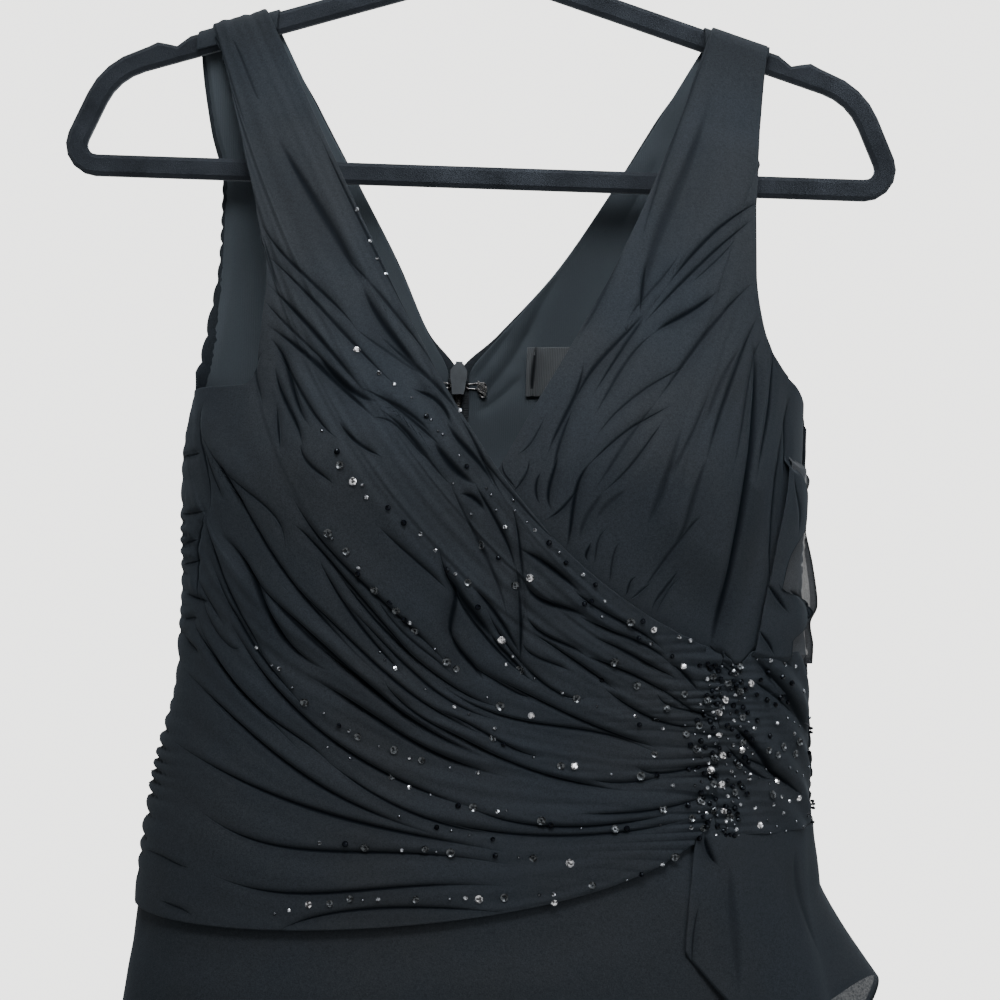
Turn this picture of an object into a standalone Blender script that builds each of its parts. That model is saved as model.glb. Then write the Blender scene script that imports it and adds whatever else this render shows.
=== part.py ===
# Sleeveless wrap-front cocktail dress hanging on a slim clothes hanger.
# +Z is up, the front of the dress faces -Y and the wearer's left is at +X.
# The origin is the inside of the top of the hanger's hook, where a rail carries it.
# Tables and sizes are in millimetres, and "drop" is the distance below the origin.
import math

import bpy
import numpy as np

MM = 0.001
CLOTH = 1.6                 # wall of a gathered panel
LINING = 1.0                # wall of the lining
SEAM = 0.3                  # gap left between two pieces at a seam
TUCK = 3.6                  # how far a piece sinks where another one lies over it
FULLNESS = 0.30             # squares the oval of the body a little
HAIR = 1e-6                 # angle that keeps an edge on its own side of the side seam

HEM_DROP = 1100.0
BACK_CENTRE = -9.0          # x of the centre back seam and its zip
BACK_V_DROP = 320.0
UNDERARM_DROP = 337.0

HANGER_APEX = 95.5          # drop of the top of the arms where they meet
HANGER_SLOPE = math.tan(math.radians(17.3))
HANGER_WIDTH = 11.5
HANGER_THICK = 6.0
HANGER_BAR = 216.0          # drop of the middle of the lower bar
HANGER_HEEL = (224.2, HANGER_BAR)   # corner between the slanting end and the bar
HANGER_CORNER = 201.0       # x where an arm turns down into the slanting end
HANGER_NOTCH = 165.0        # x of the notch that keeps a narrow strap on the arm
HANGER_NECK = 16.0          # height of the block that holds the hook
HOOK_WIRE = 1.7             # radius of the wire
HOOK_RADIUS = 21.0          # inner radius of the bend

SHOULDER_LIFT = 1.5         # crest of the strap above the arm
SHOULDER_ROLL = 6.2         # radius of the strap's turn over the arm
EASE = 60.0                 # stretch of strap below the arm that stays flat to it

# Outline of the body: x of the side seams and depth of front and back.
LEVELS = dict(zip(("drop", "left", "right", "front", "back"), np.array((
    (100, -192, 198, 4, 4),
    (130, -187, 194, 7, 6),
    (170, -181, 192, 16, 11),
    (225, -172, 188, 37, 20),
    (280, -161, 182, 57, 32),
    (333, -150, 178, 73, 43),
    (380, -153, 178, 84, 49),
    (430, -151, 178, 80, 48),
    (480, -152, 183, 71, 45),
    (520, -158, 186, 67, 44),
    (580, -168, 190, 74, 52),
    (660, -177, 203, 83, 62),
    (800, -200, 224, 92, 72),
    (950, -225, 248, 100, 82),
    (1110, -249, 271, 109, 93),
), float).T))

# The two cups that fill out the front.
CUPS = dict(zip(("x", "drop", "radius", "height"), np.array((
    (-66, 372, 62, 9),
    (92, 372, 60, 8),
), float).T))

# Pleats of the wrap front, counted from the neck edge. Each line leaves the shoulder, armhole or
# side seam at an angle below level, and arrives at the gathered seam; pull and push set its sweep.
# fold is the pleat's height, and from is the share of the line where it begins.
LINE_NAMES = ("pleat", "x", "drop", "leave", "pull", "end_x", "end_drop", "arrive", "push", "fold", "from")
WRAP = dict(zip(LINE_NAMES, np.array((
    (0.0, -112, 142, 61, 228, 131, 464, 16, 96, 1.2, 0.0),
    (2.5, -126, 147, 64, 228, 131, 474, 16, 97, 1.6, 0.0),
    (5.0, -141, 152, 71, 213, 131, 483, 15, 97, 1.6, 0.0),
    (8.0, -115, 243, 70, 152, 131, 494, 13, 97, 2.6, 0.0),
    (10.5, -107, 285, 70, 130, 131, 504, 11, 97, 3.0, 0.0),
    (11.5, -110, 326, 74, 124, 131, 507, 10, 99, 2.4, 0.0),
    (12.0, -116, 335, 78, 124, 131, 509, 9, 99, 1.6, 0.25),
    (13.0, -149, 337, 82, 138, 131, 513, 6, 102, 1.6, 0.3),
    (14.0, -153, 363, 76, 126, 131, 517, 3, 102, 3.0, 0.0),
    (17.0, -153, 411, 64, 113, 131, 528, -3, 105, 3.2, 0.0),
    (20.0, -150, 470, 48, 103, 131, 539, -10, 107, 3.2, 0.0),
    (22.5, -155, 523, 31, 98, 128, 548, -18, 109, 3.6, 0.0),
    (24.5, -167, 571, 20, 92, 123, 556, -29, 92, 3.8, 0.0),
    (25.7, -170, 609, 2, 92, 118, 561, -38, 64, 2.8, 0.0),
), float).T))
WRAP_SIDE_PLEAT = 13.0      # first pleat that leaves the side seam

# Pleats of the under front, counted from its neck edge.
UNDER = dict(zip(LINE_NAMES, np.array((
    (0.0, 119, 143, 108, 172, 15, 397, 126, 74, 1.2, 0.20),
    (1.5, 130, 147, 105, 172, 31, 414, 124, 80, 2.0, 0.25),
    (3.0, 141, 150, 100, 172, 48, 430, 122, 85, 2.4, 0.25),
    (4.5, 151, 153, 94, 172, 63, 440, 120, 90, 2.4, 0.20),
    (6.0, 145, 236, 114, 127, 74, 449, 116, 85, 2.6, 0.0),
    (8.0, 145, 268, 113, 126, 92, 460, 110, 80, 2.8, 0.0),
    (9.5, 149, 297, 103, 110, 110, 470, 104, 76, 3.4, 0.0),
    (11.0, 162, 319, 97, 91, 132, 479, 102, 71, 1.6, 0.0),
    (12.0, 171, 326, 96, 87, 143, 483, 101, 72, 2.2, 0.3),
    (13.0, 178, 334, 91, 77, 187, 487, 86, 70, 0.8, 0.3),
), float).T))

# The backs: each rung runs from the armhole or side seam to the neck edge or centre back seam.
RUNG_NAMES = ("rung", "out_x", "out_drop", "in_x", "in_drop")
BACK_RIGHT = dict(zip(RUNG_NAMES, np.array((
    (0, -154, 124, -112, 111),
    (1, -153, 151, -111, 138),
    (2, -147, 193, -89, 180),
    (3, -140, 224, -66, 221),
    (4, -141, 262, -44, 261),
    (5, -146, 296, -27, 297),
    (6, -149, 320, -10, 320),
    (7, -151, UNDERARM_DROP, -9, 345),
    (8, -171, 613, -9, 591),
), float).T))
BACK_LEFT = dict(zip(RUNG_NAMES, np.array((
    (0, 151, 124, 119, 114),
    (1, 150, 151, 118, 141),
    (2, 144, 193, 94, 182),
    (3, 142, 227, 69, 224),
    (4, 141, 262, 43, 263),
    (5, 145, 296, 13, 297),
    (6, 156, 320, -8, 320),
    (7, 178, UNDERARM_DROP, -9, 345),
    (8, 190, 564, -9, 591),
), float).T))
BACK_GATHER = 2.6           # height of the gathers along the side seams of the back
BACK_GATHER_REACH = 0.55    # share of the back's width over which they die out

# The linings show inside the back neck and armholes, and their rungs match those of the backs.
LINING_RIGHT = dict(zip(RUNG_NAMES, np.array((
    (1, -151, 152, -113, 140),
    (2, -145, 193, -91, 182),
    (3, -138, 224, -68, 222),
    (4, -139, 262, -46, 262),
    (5, -140, 296, -29, 298),
    (6, -138, 320, BACK_CENTRE - 6.3, 322),
    (7, -132, UNDERARM_DROP, BACK_CENTRE - 6.3, 345),
    (8, -118, 430, BACK_CENTRE - 6.3, 430),
), float).T))
LINING_LEFT = dict(zip(RUNG_NAMES, np.array((
    (1, 148, 153, 120, 143),
    (2, 142, 193, 96, 184),
    (3, 140, 227, 71, 225),
    (4, 139, 262, 45, 264),
    (5, 140, 296, 16, 298),
    (6, 146, 320, BACK_CENTRE + 6.3, 322),
    (7, 152, UNDERARM_DROP, BACK_CENTRE + 6.3, 345),
    (8, 142, 430, BACK_CENTRE + 6.3, 430),
), float).T))
LINING_INSET = 2.6          # middle of the lining inside the middle of the back

# Top edge of the front skirt, tucked under the wrap and the side band.
SKIRT_TOP = dict(zip(("x", "drop"), np.array((
    (-175, 598), (-62, 595), (1, 587), (58, 582), (93, 568), (118, 550), (200, 544),
), float).T))
SKIRT_COVER = 24.0          # stretch below that edge that stays sunk
FLUTES_FRONT = 7
FLUTES_BACK = 6
FLUTE_HEIGHT = 13.0

BAND_LEFT = 131.8           # x of the gathered seam
BAND_TOP = 461.0
BAND_BOTTOM = 556.0
BAND_FOLDS = 4

ZIP_BOTTOM = 540.0          # drop of the end of the zip
SLIDER_TOP = BACK_V_DROP - 6.0      # the slider is closed, a little above the point of the V
SLIDER_HEIGHT = 17.0
PULL_LENGTH = 24.0
PIN_RADIUS = 0.6
EYE_RADIUS = 0.9


# ---------------------------------------------------------------- surfaces

def smooth(where, stations, values):
    """Monotone cubic curve through a table's column."""
    step = np.diff(stations)
    slope = np.diff(values) / step
    total = slope[1:] + slope[:-1]
    same = slope[1:] * slope[:-1] > 0
    inner = np.where(same, 2 * slope[1:] * slope[:-1] / np.where(same, total, 1), 0)
    tangent = np.concatenate((slope[:1], inner, slope[-1:]))
    i = np.clip(np.searchsorted(stations, where, side="right") - 1, 0, len(step) - 1)
    u = np.clip((where - stations[i]) / step[i], 0, 1)
    return ((2 * u ** 3 - 3 * u ** 2 + 1) * values[i] + (u ** 3 - 2 * u ** 2 + u) * step[i] * tangent[i]
            + (3 * u ** 2 - 2 * u ** 3) * values[i + 1] + (u ** 3 - u ** 2) * step[i] * tangent[i + 1])


def rise(u):
    """Soft step from 0 to 1."""
    u = np.clip(u, 0, 1)
    return u * u * (3 - 2 * u)


def level(fall, column):
    return smooth(fall, LEVELS["drop"], LEVELS[column])


def crest(x):
    """Drop of the strap's middle surface where it passes over the hanger's arm."""
    return HANGER_APEX + np.abs(x) * HANGER_SLOPE - SHOULDER_LIFT


def angle(x, fall, back=False):
    """Angle round the body, 0 at centre front and a quarter turn at the wearer's left side seam."""
    middle = (level(fall, "left") + level(fall, "right")) / 2
    half = (level(fall, "right") - level(fall, "left")) / 2
    turn = np.arcsin(np.clip((x - middle) / half, -1, 1))
    return np.pi - turn if back else turn


def place(turn, fall):
    """Middle surface of the garment. Above the hanger's arm the cloth rolls over it."""
    middle = (level(fall, "left") + level(fall, "right")) / 2
    half = (level(fall, "right") - level(fall, "left")) / 2
    x = middle + half * np.sin(turn)
    front = np.cos(turn) > 0
    depth = np.where(front, level(fall, "front"), level(fall, "back"))
    depth = depth * np.abs(np.cos(turn)) * (1 + FULLNESS * np.sin(turn) ** 2)
    for cup_x, cup_drop, radius, height in zip(CUPS["x"], CUPS["drop"], CUPS["radius"], CUPS["height"]):
        away = ((x - cup_x) ** 2 + (fall - cup_drop) ** 2) / radius ** 2
        depth = depth + np.where(front, height * np.exp(-away) * np.abs(np.cos(turn)), 0)
    hang = fall - crest(x) - SHOULDER_ROLL
    flat = 1 - rise(hang / EASE)
    below = depth + (SHOULDER_ROLL - depth) * flat + SEAM / 2
    over = np.clip(-hang / SHOULDER_ROLL, 0, np.pi)
    past = np.maximum(-hang - np.pi * SHOULDER_ROLL, 0)
    y = np.where(hang > 0, below, SHOULDER_ROLL * np.cos(over) + SEAM / 2)
    drop = np.where(hang > 0, fall, crest(x) + SHOULDER_ROLL * (1 - np.sin(over)) + past)
    return np.stack((x, np.where(front, -y, y), -drop), axis=-1)


def outward(turn, fall):
    """Unit normal of the middle surface, away from the body."""
    step = 0.002
    across = place(turn + step, fall) - place(turn - step, fall)
    up = place(turn, fall - 0.2) - place(turn, fall + 0.2)
    normal = np.cross(across, up)
    return normal / np.linalg.norm(normal, axis=-1, keepdims=True)


def lines(table, pleat, along):
    """Points of the pleat lines, each a Bezier curve in x and drop."""
    value = {name: smooth(pleat, table["pleat"], table[name]) for name in LINE_NAMES[1:]}
    leave = np.radians(value["leave"])
    arrive = np.radians(value["arrive"])
    begin = (value["x"], value["drop"])
    end = (value["end_x"], value["end_drop"])
    first = (begin[0] + value["pull"] * np.cos(leave), begin[1] + value["pull"] * np.sin(leave))
    last = (end[0] - value["push"] * np.cos(arrive), end[1] - value["push"] * np.sin(arrive))
    t = along
    blend = [(1 - t) ** 3 * a + 3 * (1 - t) ** 2 * t * b + 3 * (1 - t) * t ** 2 * c + t ** 3 * d
             for a, b, c, d in zip(begin, first, last, end)]
    return blend[0], blend[1], value["fold"], value["from"]


def pleat_form(pleat):
    """Height of a pleat's section: a slow rise to its ridge, then a steep fall into the next."""
    return np.interp(np.mod(pleat, 1), (0, 0.35, 0.72, 1), (0, 0.8, 1, 0))


def uneven(pleat):
    """Share of its height that each pleat really has, since no two are gathered alike."""
    return 0.78 + 0.22 * np.sin(2.4 * np.floor(pleat) + 0.7 * np.floor(pleat) ** 1.5)


def pleat_stations(count, last):
    """Three stations a pleat: its valley, its flank and its ridge."""
    stations = np.add.outer(np.arange(count), (0, 0.35, 0.72)).ravel()
    return np.append(stations[stations < last - 0.01], last)


# ---------------------------------------------------------------- meshes

def colour(name, rgb, roughness, metallic=0.0):
    material = bpy.data.materials.get(name) or bpy.data.materials.new(name)
    material.use_nodes = True
    shader = material.node_tree.nodes["Principled BSDF"]
    shader.inputs["Base Color"].default_value = (*rgb, 1)
    shader.inputs["Roughness"].default_value = roughness
    shader.inputs["Metallic"].default_value = metallic
    material.diffuse_color = (*rgb, 1)
    return material


def chiffon():
    return colour("chiffon", (0.020, 0.023, 0.028), 0.85)


def satin():
    return colour("lining_satin", (0.045, 0.047, 0.050), 0.6)


def velvet():
    return colour("velvet_flock", (0.012, 0.014, 0.017), 0.95)


def steel():
    return colour("bright_steel", (0.75, 0.75, 0.76), 0.2, 1.0)


def dark_metal():
    return colour("painted_slider", (0.06, 0.065, 0.07), 0.4, 0.6)


def woven_black():
    return colour("woven_black", (0.015, 0.015, 0.017), 0.5)


def add_object(name, points, faces, material):
    """Object from points in millimetres, with its faces turned outwards."""
    points = np.asarray(points, float) * MM
    faces = [tuple(face) for face in faces]
    volume = 0.0
    for face in faces:
        a = points[face[0]]
        for b, c in zip(face[1:-1], face[2:]):
            volume += np.dot(a, np.cross(points[b], points[c]))
    if volume < 0:
        faces = [face[::-1] for face in faces]
    mesh = bpy.data.meshes.new(name)
    mesh.from_pydata(points.tolist(), [], faces)
    mesh.materials.append(material)
    mesh.update()
    obj = bpy.data.objects.new(name, mesh)
    bpy.context.scene.collection.objects.link(obj)
    return obj


def wall(name, middle, normal, raise_by, thickness, material):
    """Closed wall of cloth on a grid of points, raised along the body's normals."""
    raise_by = np.broadcast_to(raise_by, middle.shape[:2])[..., None]
    outer = middle + normal * (raise_by + thickness / 2)
    inner = middle + normal * (raise_by - thickness / 2)
    rows, columns = middle.shape[:2]
    number = np.arange(rows * columns).reshape(rows, columns)
    a, b = number[:-1, :-1].ravel(), number[:-1, 1:].ravel()
    c, d = number[1:, 1:].ravel(), number[1:, :-1].ravel()
    faces = list(zip(a, b, c)) + list(zip(a, c, d))
    below = rows * columns
    faces += [(k + below, j + below, i + below) for i, j, k in faces]
    rim = np.concatenate((number[0, :-1], number[:-1, -1], number[-1, :0:-1], number[:0:-1, 0]))
    for i, j in zip(rim, np.roll(rim, -1)):
        faces += [(j, i, i + below), (j, i + below, j + below)]
    points = np.concatenate((outer.reshape(-1, 3), inner.reshape(-1, 3)))
    return add_object(name, points, faces, material)


def cloth(name, turn, fall, raise_by, material, thickness=CLOTH):
    return wall(name, place(turn, fall), outward(turn, fall), raise_by, thickness, material)


def loft(name, rings, material, closed=False):
    """Solid through rings of equal length; closed joins the last ring to the first."""
    rings = np.asarray(rings, float)
    count, sides = rings.shape[:2]
    number = np.arange(count * sides).reshape(count, sides)
    after = np.roll(number, -1, axis=0) if closed else number[1:]
    before = number if closed else number[:-1]
    a, d = before, after
    b, c = np.roll(before, -1, axis=1), np.roll(after, -1, axis=1)
    faces = list(zip(a.ravel(), b.ravel(), c.ravel(), d.ravel()))
    if not closed:
        faces += [tuple(number[0, ::-1]), tuple(number[-1])]
    return add_object(name, rings.reshape(-1, 3), faces, material)


def box(name, low, high, material):
    corners = [[(x, y, z) for x, y in ((low[0], low[1]), (high[0], low[1]), (high[0], high[1]),
                                        (low[0], high[1]))] for z in (low[2], high[2])]
    return loft(name, corners, material)


def join(target, *others):
    """Boolean union of a few solids into the first."""
    for other in others:
        cut = target.modifiers.new("join_" + other.name, "BOOLEAN")
        cut.operation = "UNION"
        cut.solver = "EXACT"
        cut.object = other
        other.hide_render = True
        other.display_type = "WIRE"


# ---------------------------------------------------------------- front

def wrap_front():
    """Pleated front that crosses from the wearer's right shoulder to the left waist."""
    pleats = pleat_stations(26, WRAP["pleat"][-1])
    steps = np.linspace(0, 1, 14) ** 1.4
    pleat, along = np.meshgrid(pleats, steps)
    x, fall, fold, begin = lines(WRAP, pleat, along)
    turn = angle(x, fall)
    turn[(along == 0) & (pleat >= WRAP_SIDE_PLEAT)] = -np.pi / 2
    swell = (0.5 + 0.5 * rise(along / 0.3)) * (1 - 0.78 * rise((along - 0.4) / 0.6))
    height = fold * uneven(pleat) * pleat_form(pleat) * swell * rise((along - begin) / 0.25 + (begin < 0.05))
    return cloth("front_wrap", turn, fall, height, chiffon())


def under_front():
    """Gathered front of the wearer's left side, which goes under the wrap and the side band."""
    pleats = pleat_stations(13, UNDER["pleat"][-1])
    steps = np.linspace(0, 1, 13)
    pleat, along = np.meshgrid(pleats, steps)
    x, fall, fold, begin = lines(UNDER, pleat, along)
    turn = angle(x, fall)
    turn[pleat == UNDER["pleat"][-1]] = np.pi / 2
    height = fold * uneven(pleat) * pleat_form(pleat) * rise((along - begin) / 0.2 + (begin < 0.05))
    sunk = rise((along - 0.62) / 0.24)
    return cloth("front_under", turn, fall, height * (1 - sunk) - TUCK * sunk, chiffon())


def side_band():
    """Gathered band at the wearer's left waist, with folds that fall towards the side seam."""
    across, down = np.meshgrid(np.linspace(0, 1, 10), np.linspace(0, 1, 13))
    fall = BAND_TOP + (BAND_BOTTOM - BAND_TOP) * down
    start = angle(BAND_LEFT, fall)
    turn = start + (np.pi / 2 - start) * across
    phase = BAND_FOLDS * (down - 0.75 * across)
    height = 0.4 + 3.0 * pleat_form(phase) * rise(across / 0.35) * rise((1.15 - across) / 0.5)
    return cloth("side_band", turn, fall, height, chiffon())


# ---------------------------------------------------------------- back

def back_stations():
    """Rungs of a back: over the shoulder, down the strap, then three to each side gather."""
    shoulder = np.linspace(0, 1, 8)
    strap = np.linspace(1, 7, 11)[1:-1]
    side = WRAP["pleat"] >= WRAP_SIDE_PLEAT
    pleats = pleat_stations(26, WRAP["pleat"][-1])
    pleats = pleats[pleats >= WRAP_SIDE_PLEAT]
    seam_drop = smooth(pleats, WRAP["pleat"][side], WRAP["drop"][side])
    first, last = seam_drop[0], seam_drop[-1]
    lower = 7 + (seam_drop - first) / (last - first)
    lower[0] = 7
    lower[-1] = 8
    form = np.concatenate((np.zeros(len(shoulder) + len(strap)), pleat_form(pleats)))
    form[-1] = form[-2] * 0.5
    return np.concatenate((shoulder, strap, lower)), form


def back(name, table, columns):
    """One side of the back, with its strap over the hanger and gathers at its side seam."""
    rungs, form = back_stations()
    share, rung = np.meshgrid(columns, rungs)
    form = np.broadcast_to(form[:, None], rung.shape)
    value = {key: smooth(rung, table["rung"], table[key]) for key in RUNG_NAMES[1:]}
    inside = np.sign(value["out_x"] - BACK_CENTRE) * SEAM / 2
    in_x = np.where(rung >= 6, BACK_CENTRE + inside, value["in_x"])
    x = value["out_x"] + (in_x - value["out_x"]) * share
    fall = value["out_drop"] + (value["in_drop"] - value["out_drop"]) * share
    turn = angle(x, fall, back=True)
    seam = np.pi / 2 + HAIR if table["out_x"][0] > 0 else 3 * np.pi / 2 - HAIR
    turn[(share == 0) & (rung >= 7)] = seam
    height = BACK_GATHER * form * rise(1 - share / BACK_GATHER_REACH)
    return cloth(name, turn, fall, height, chiffon())


def lining(name, table):
    """Smooth lining that shows inside the back neck and armhole."""
    share, rung = np.meshgrid(np.linspace(0, 1, 8), np.linspace(1, 8, 14))
    value = {key: smooth(rung, table["rung"], table[key]) for key in RUNG_NAMES[1:]}
    x = value["out_x"] + (value["in_x"] - value["out_x"]) * share
    fall = value["out_drop"] + (value["in_drop"] - value["out_drop"]) * share
    return cloth(name, angle(x, fall, back=True), fall, -LINING_INSET, satin(), LINING)


def label():
    """Plain woven label sewn inside the back neck."""
    x, fall = np.meshgrid(np.linspace(29, 73, 6), np.linspace(303, 330, 4))
    return cloth("neck_label", angle(x, fall, back=True), fall, -LINING_INSET - 1.7, woven_black(), LINING)


# ---------------------------------------------------------------- skirt

def flutes(share, fall, count, lean):
    """Soft folds that open towards the hem, uneven across the skirt."""
    wander = 0.10 * np.sin(2 * np.pi * share + lean) * np.sin(np.pi * share)
    wave = np.cos(2 * np.pi * count * (share + wander))
    uneven = 1 + 0.35 * np.sin(2 * np.pi * share * 2 + lean) * np.sin(np.pi * share)
    return FLUTE_HEIGHT * rise((fall - 640) / 460) * wave * uneven


def skirt_front():
    across, down = np.meshgrid(np.linspace(0, 1, 4 * FLUTES_FRONT + 1),
                               np.array((0, 0.025, 0.06, 0.12, 0.26, 0.48, 0.74, 1)))
    turn = np.pi * (across - 0.5)
    top_x = 14 + 180 * np.sin(turn)
    top = smooth(top_x, SKIRT_TOP["x"], SKIRT_TOP["drop"])
    fall = top + (HEM_DROP - top) * down
    clear = SKIRT_COVER + 30 * rise((top_x - 80) / 40)
    sunk = 1 - rise((fall - top - clear) / 24)
    height = flutes(across, fall, FLUTES_FRONT, 0.6) - TUCK * sunk
    return cloth("skirt_front", turn, fall, height, chiffon())


def skirt_back():
    across, down = np.meshgrid(np.linspace(0, 1, 4 * FLUTES_BACK + 1),
                               np.array((0, 0.06, 0.15, 0.3, 0.5, 0.74, 1)))
    turn = np.pi / 2 + HAIR + (np.pi - 2 * HAIR) * across
    top = 564 + (613 - 564) * (1 - np.sin(turn)) / 2 + SEAM + 0.3
    fall = top + (HEM_DROP - top) * down
    return cloth("skirt_back", turn, fall, flutes(across, fall, FLUTES_BACK, 2.1), chiffon())


# ---------------------------------------------------------------- flounces

def flounce_lower():
    """Flounce that falls from the side band over the hip, longest in the middle."""
    across, down = np.meshgrid(np.linspace(0, 1, 25), np.linspace(0, 1, 8) ** 1.1)
    stations = np.array((0, 0.12, 0.40, 0.64, 0.80, 1.0))
    hem = smooth(across, stations, np.array((614, 640, 672, 664, 646, 690), float))
    top = BAND_BOTTOM + SEAM + 0.4
    fall = top + (hem - top) * down
    begin = angle(BAND_LEFT - 2, top)
    turn_top = begin + (np.radians(104) - begin) * across
    turn_hem = np.radians(smooth(across, stations, np.array((35, 43, 58, 74, 92, 122), float)))
    turn = turn_top + (turn_hem - turn_top) * down
    wave = np.cos(2 * np.pi * (2.6 * across - 0.18))
    swing = 5 + 15 * smooth(across, stations, np.array((0.1, 0.2, 0.35, 0.6, 1.2, 0.5)))
    clear_of_back = 3.4 * rise((across - 0.58) / 0.16)
    start = 0.36 * rise(across / 0.7)
    flare = np.clip((down - start) / (1 - start), 0, 1) ** 1.15
    height = 0.5 + clear_of_back + flare * (swing + 4.0 * wave)
    return cloth("flounce_lower", turn, fall, height, chiffon(), 1.2)


def flounce_upper():
    """Cascade that hangs along the side seam above the band, with a zigzag free edge."""
    reach, along = np.meshgrid(np.linspace(0, 1, 8), np.linspace(0, 1, 19))
    root = 78 - 26 * along
    edge = 103 + 7 * np.sin(2 * np.pi * 2.5 * along)
    turn = np.radians(root + (edge - root) * reach)
    top = 352 + 6 * reach
    bottom = 453 - 4 * reach
    fall = top + (bottom - top) * along
    wave = np.sin(2 * np.pi * 2.5 * along + 0.4)
    height = 2.68 + reach * (5.0 + 4.5 * wave) * rise(along / 0.15) * rise((1 - along) / 0.12)
    return cloth("flounce_upper", turn, fall, height + 2.2 * rise(reach / 0.3), chiffon(), 1.2)


# ---------------------------------------------------------------- zip

def zip_tape():
    """Tape of the concealed zip behind the centre back seam."""
    x, fall = np.meshgrid(BACK_CENTRE + np.array((-5.9, 0, 5.9)), np.linspace(BACK_V_DROP + 2, ZIP_BOTTOM, 9))
    return cloth("zip_tape", angle(x, fall, back=True), fall, -LINING_INSET, woven_black(), LINING)


def back_y(drop):
    """y of the middle of the back at its centre seam."""
    return float(place(angle(np.array(BACK_CENTRE), np.array(drop), back=True), np.array(drop))[1])


def zip_slider_and_pull():
    """Slider inside the top of the zip, its bridge over the cloth, and the pull on its pin outside."""
    top = -SLIDER_TOP
    inner = min(back_y(SLIDER_TOP), back_y(SLIDER_TOP + SLIDER_HEIGHT)) - LINING_INSET - LINING / 2 - 0.4
    outer = back_y(SLIDER_TOP + 12) + CLOTH / 2 + 0.4
    x = BACK_CENTRE
    outline = ((-2.0, 0), (-4.6, -3.5), (-4.6, -7.5), (-3.2, -SLIDER_HEIGHT), (3.2, -SLIDER_HEIGHT),
               (4.6, -7.5), (4.6, -3.5), (2.0, 0))
    plate = loft("zip_slider", [[(x + a, y, top + b) for a, b in outline] for y in (inner - 1.8, inner)],
                 dark_metal())
    bridge = box("slider_bridge", (x - 1.9, inner - 1.2, top - 1.7), (x + 1.9, outer + 1.0, top + 1.2),
                 dark_metal())
    apron = box("slider_apron", (x - 2.6, outer, top - 8.0), (x + 2.6, outer + 1.2, top + 0.6),
                dark_metal())
    pin_y, pin_z = outer + 3.4, top - 4.0
    ears = [box("slider_ear_%d" % side, (x + side * 2.2 - 0.5, outer + 0.8, pin_z - 1.6),
                (x + side * 2.2 + 0.5, pin_y + 1.3, pin_z + 1.6), dark_metal()) for side in (-1, 1)]
    turn = np.radians(np.arange(0, 360, 30))
    pin = loft("slider_pin", [[(px, pin_y + PIN_RADIUS * math.cos(t), pin_z + PIN_RADIUS * math.sin(t))
                               for t in turn] for px in (x - 2.4, x + 2.4)], dark_metal())
    join(plate, bridge, apron, *ears, pin)

    eye = [[(px, pin_y + r * math.cos(t), pin_z + r * math.sin(t)) for t in turn]
           for px, r in ((x - 1.3, 1.8), (x + 1.3, 1.8), (x + 1.3, EYE_RADIUS), (x - 1.3, EYE_RADIUS))]
    pull = loft("zip_pull", eye, dark_metal(), closed=True)
    half = ((1.2, -1.45), (1.3, -4.0), (2.6, -10.0), (2.9, -17.0), (2.2, -22.5), (0.9, -PULL_LENGTH))
    tab = loft("pull_tab", [[(x + sx * w, pin_y + sy * 0.55, pin_z + z) for sx, sy in
                             ((-1, -1), (1, -1), (1, 1), (-1, 1))] for w, z in half], dark_metal())
    join(pull, tab)
    for piece in (pull, tab):
        centre = np.array((x, pin_y, pin_z)) * MM
        points = np.array([tuple(v.co) for v in piece.data.vertices]) - centre
        piece.data.vertices.foreach_set("co", points.ravel())
        piece.location = centre
    return pull


# ---------------------------------------------------------------- hanger

def arm_drop(x):
    """Drop of the middle of the hanger's arm, rounded where the arms meet."""
    return HANGER_APEX + HANGER_WIDTH / 2 * math.hypot(1, HANGER_SLOPE) + HANGER_SLOPE * np.sqrt(x * x + 25)


def fillet(before, corner, after, radius, steps):
    """Arc that rounds the corner between two straight stretches."""
    before, corner, after = (np.asarray(p, float) for p in (before, corner, after))
    back = (before - corner) / np.linalg.norm(before - corner)
    ahead = (after - corner) / np.linalg.norm(after - corner)
    half = math.acos(np.clip(np.dot(back, ahead), -1, 1)) / 2
    middle = corner + (back + ahead) / np.linalg.norm(back + ahead) * radius / math.sin(half)
    start = corner + back * radius / math.tan(half) - middle
    end = corner + ahead * radius / math.tan(half) - middle
    sweep = math.atan2(start[0] * end[1] - start[1] * end[0], np.dot(start, end))
    turn = np.linspace(0, sweep, steps)
    return middle + np.stack((start[0] * np.cos(turn) - start[1] * np.sin(turn),
                              start[0] * np.sin(turn) + start[1] * np.cos(turn)), axis=1)


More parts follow.
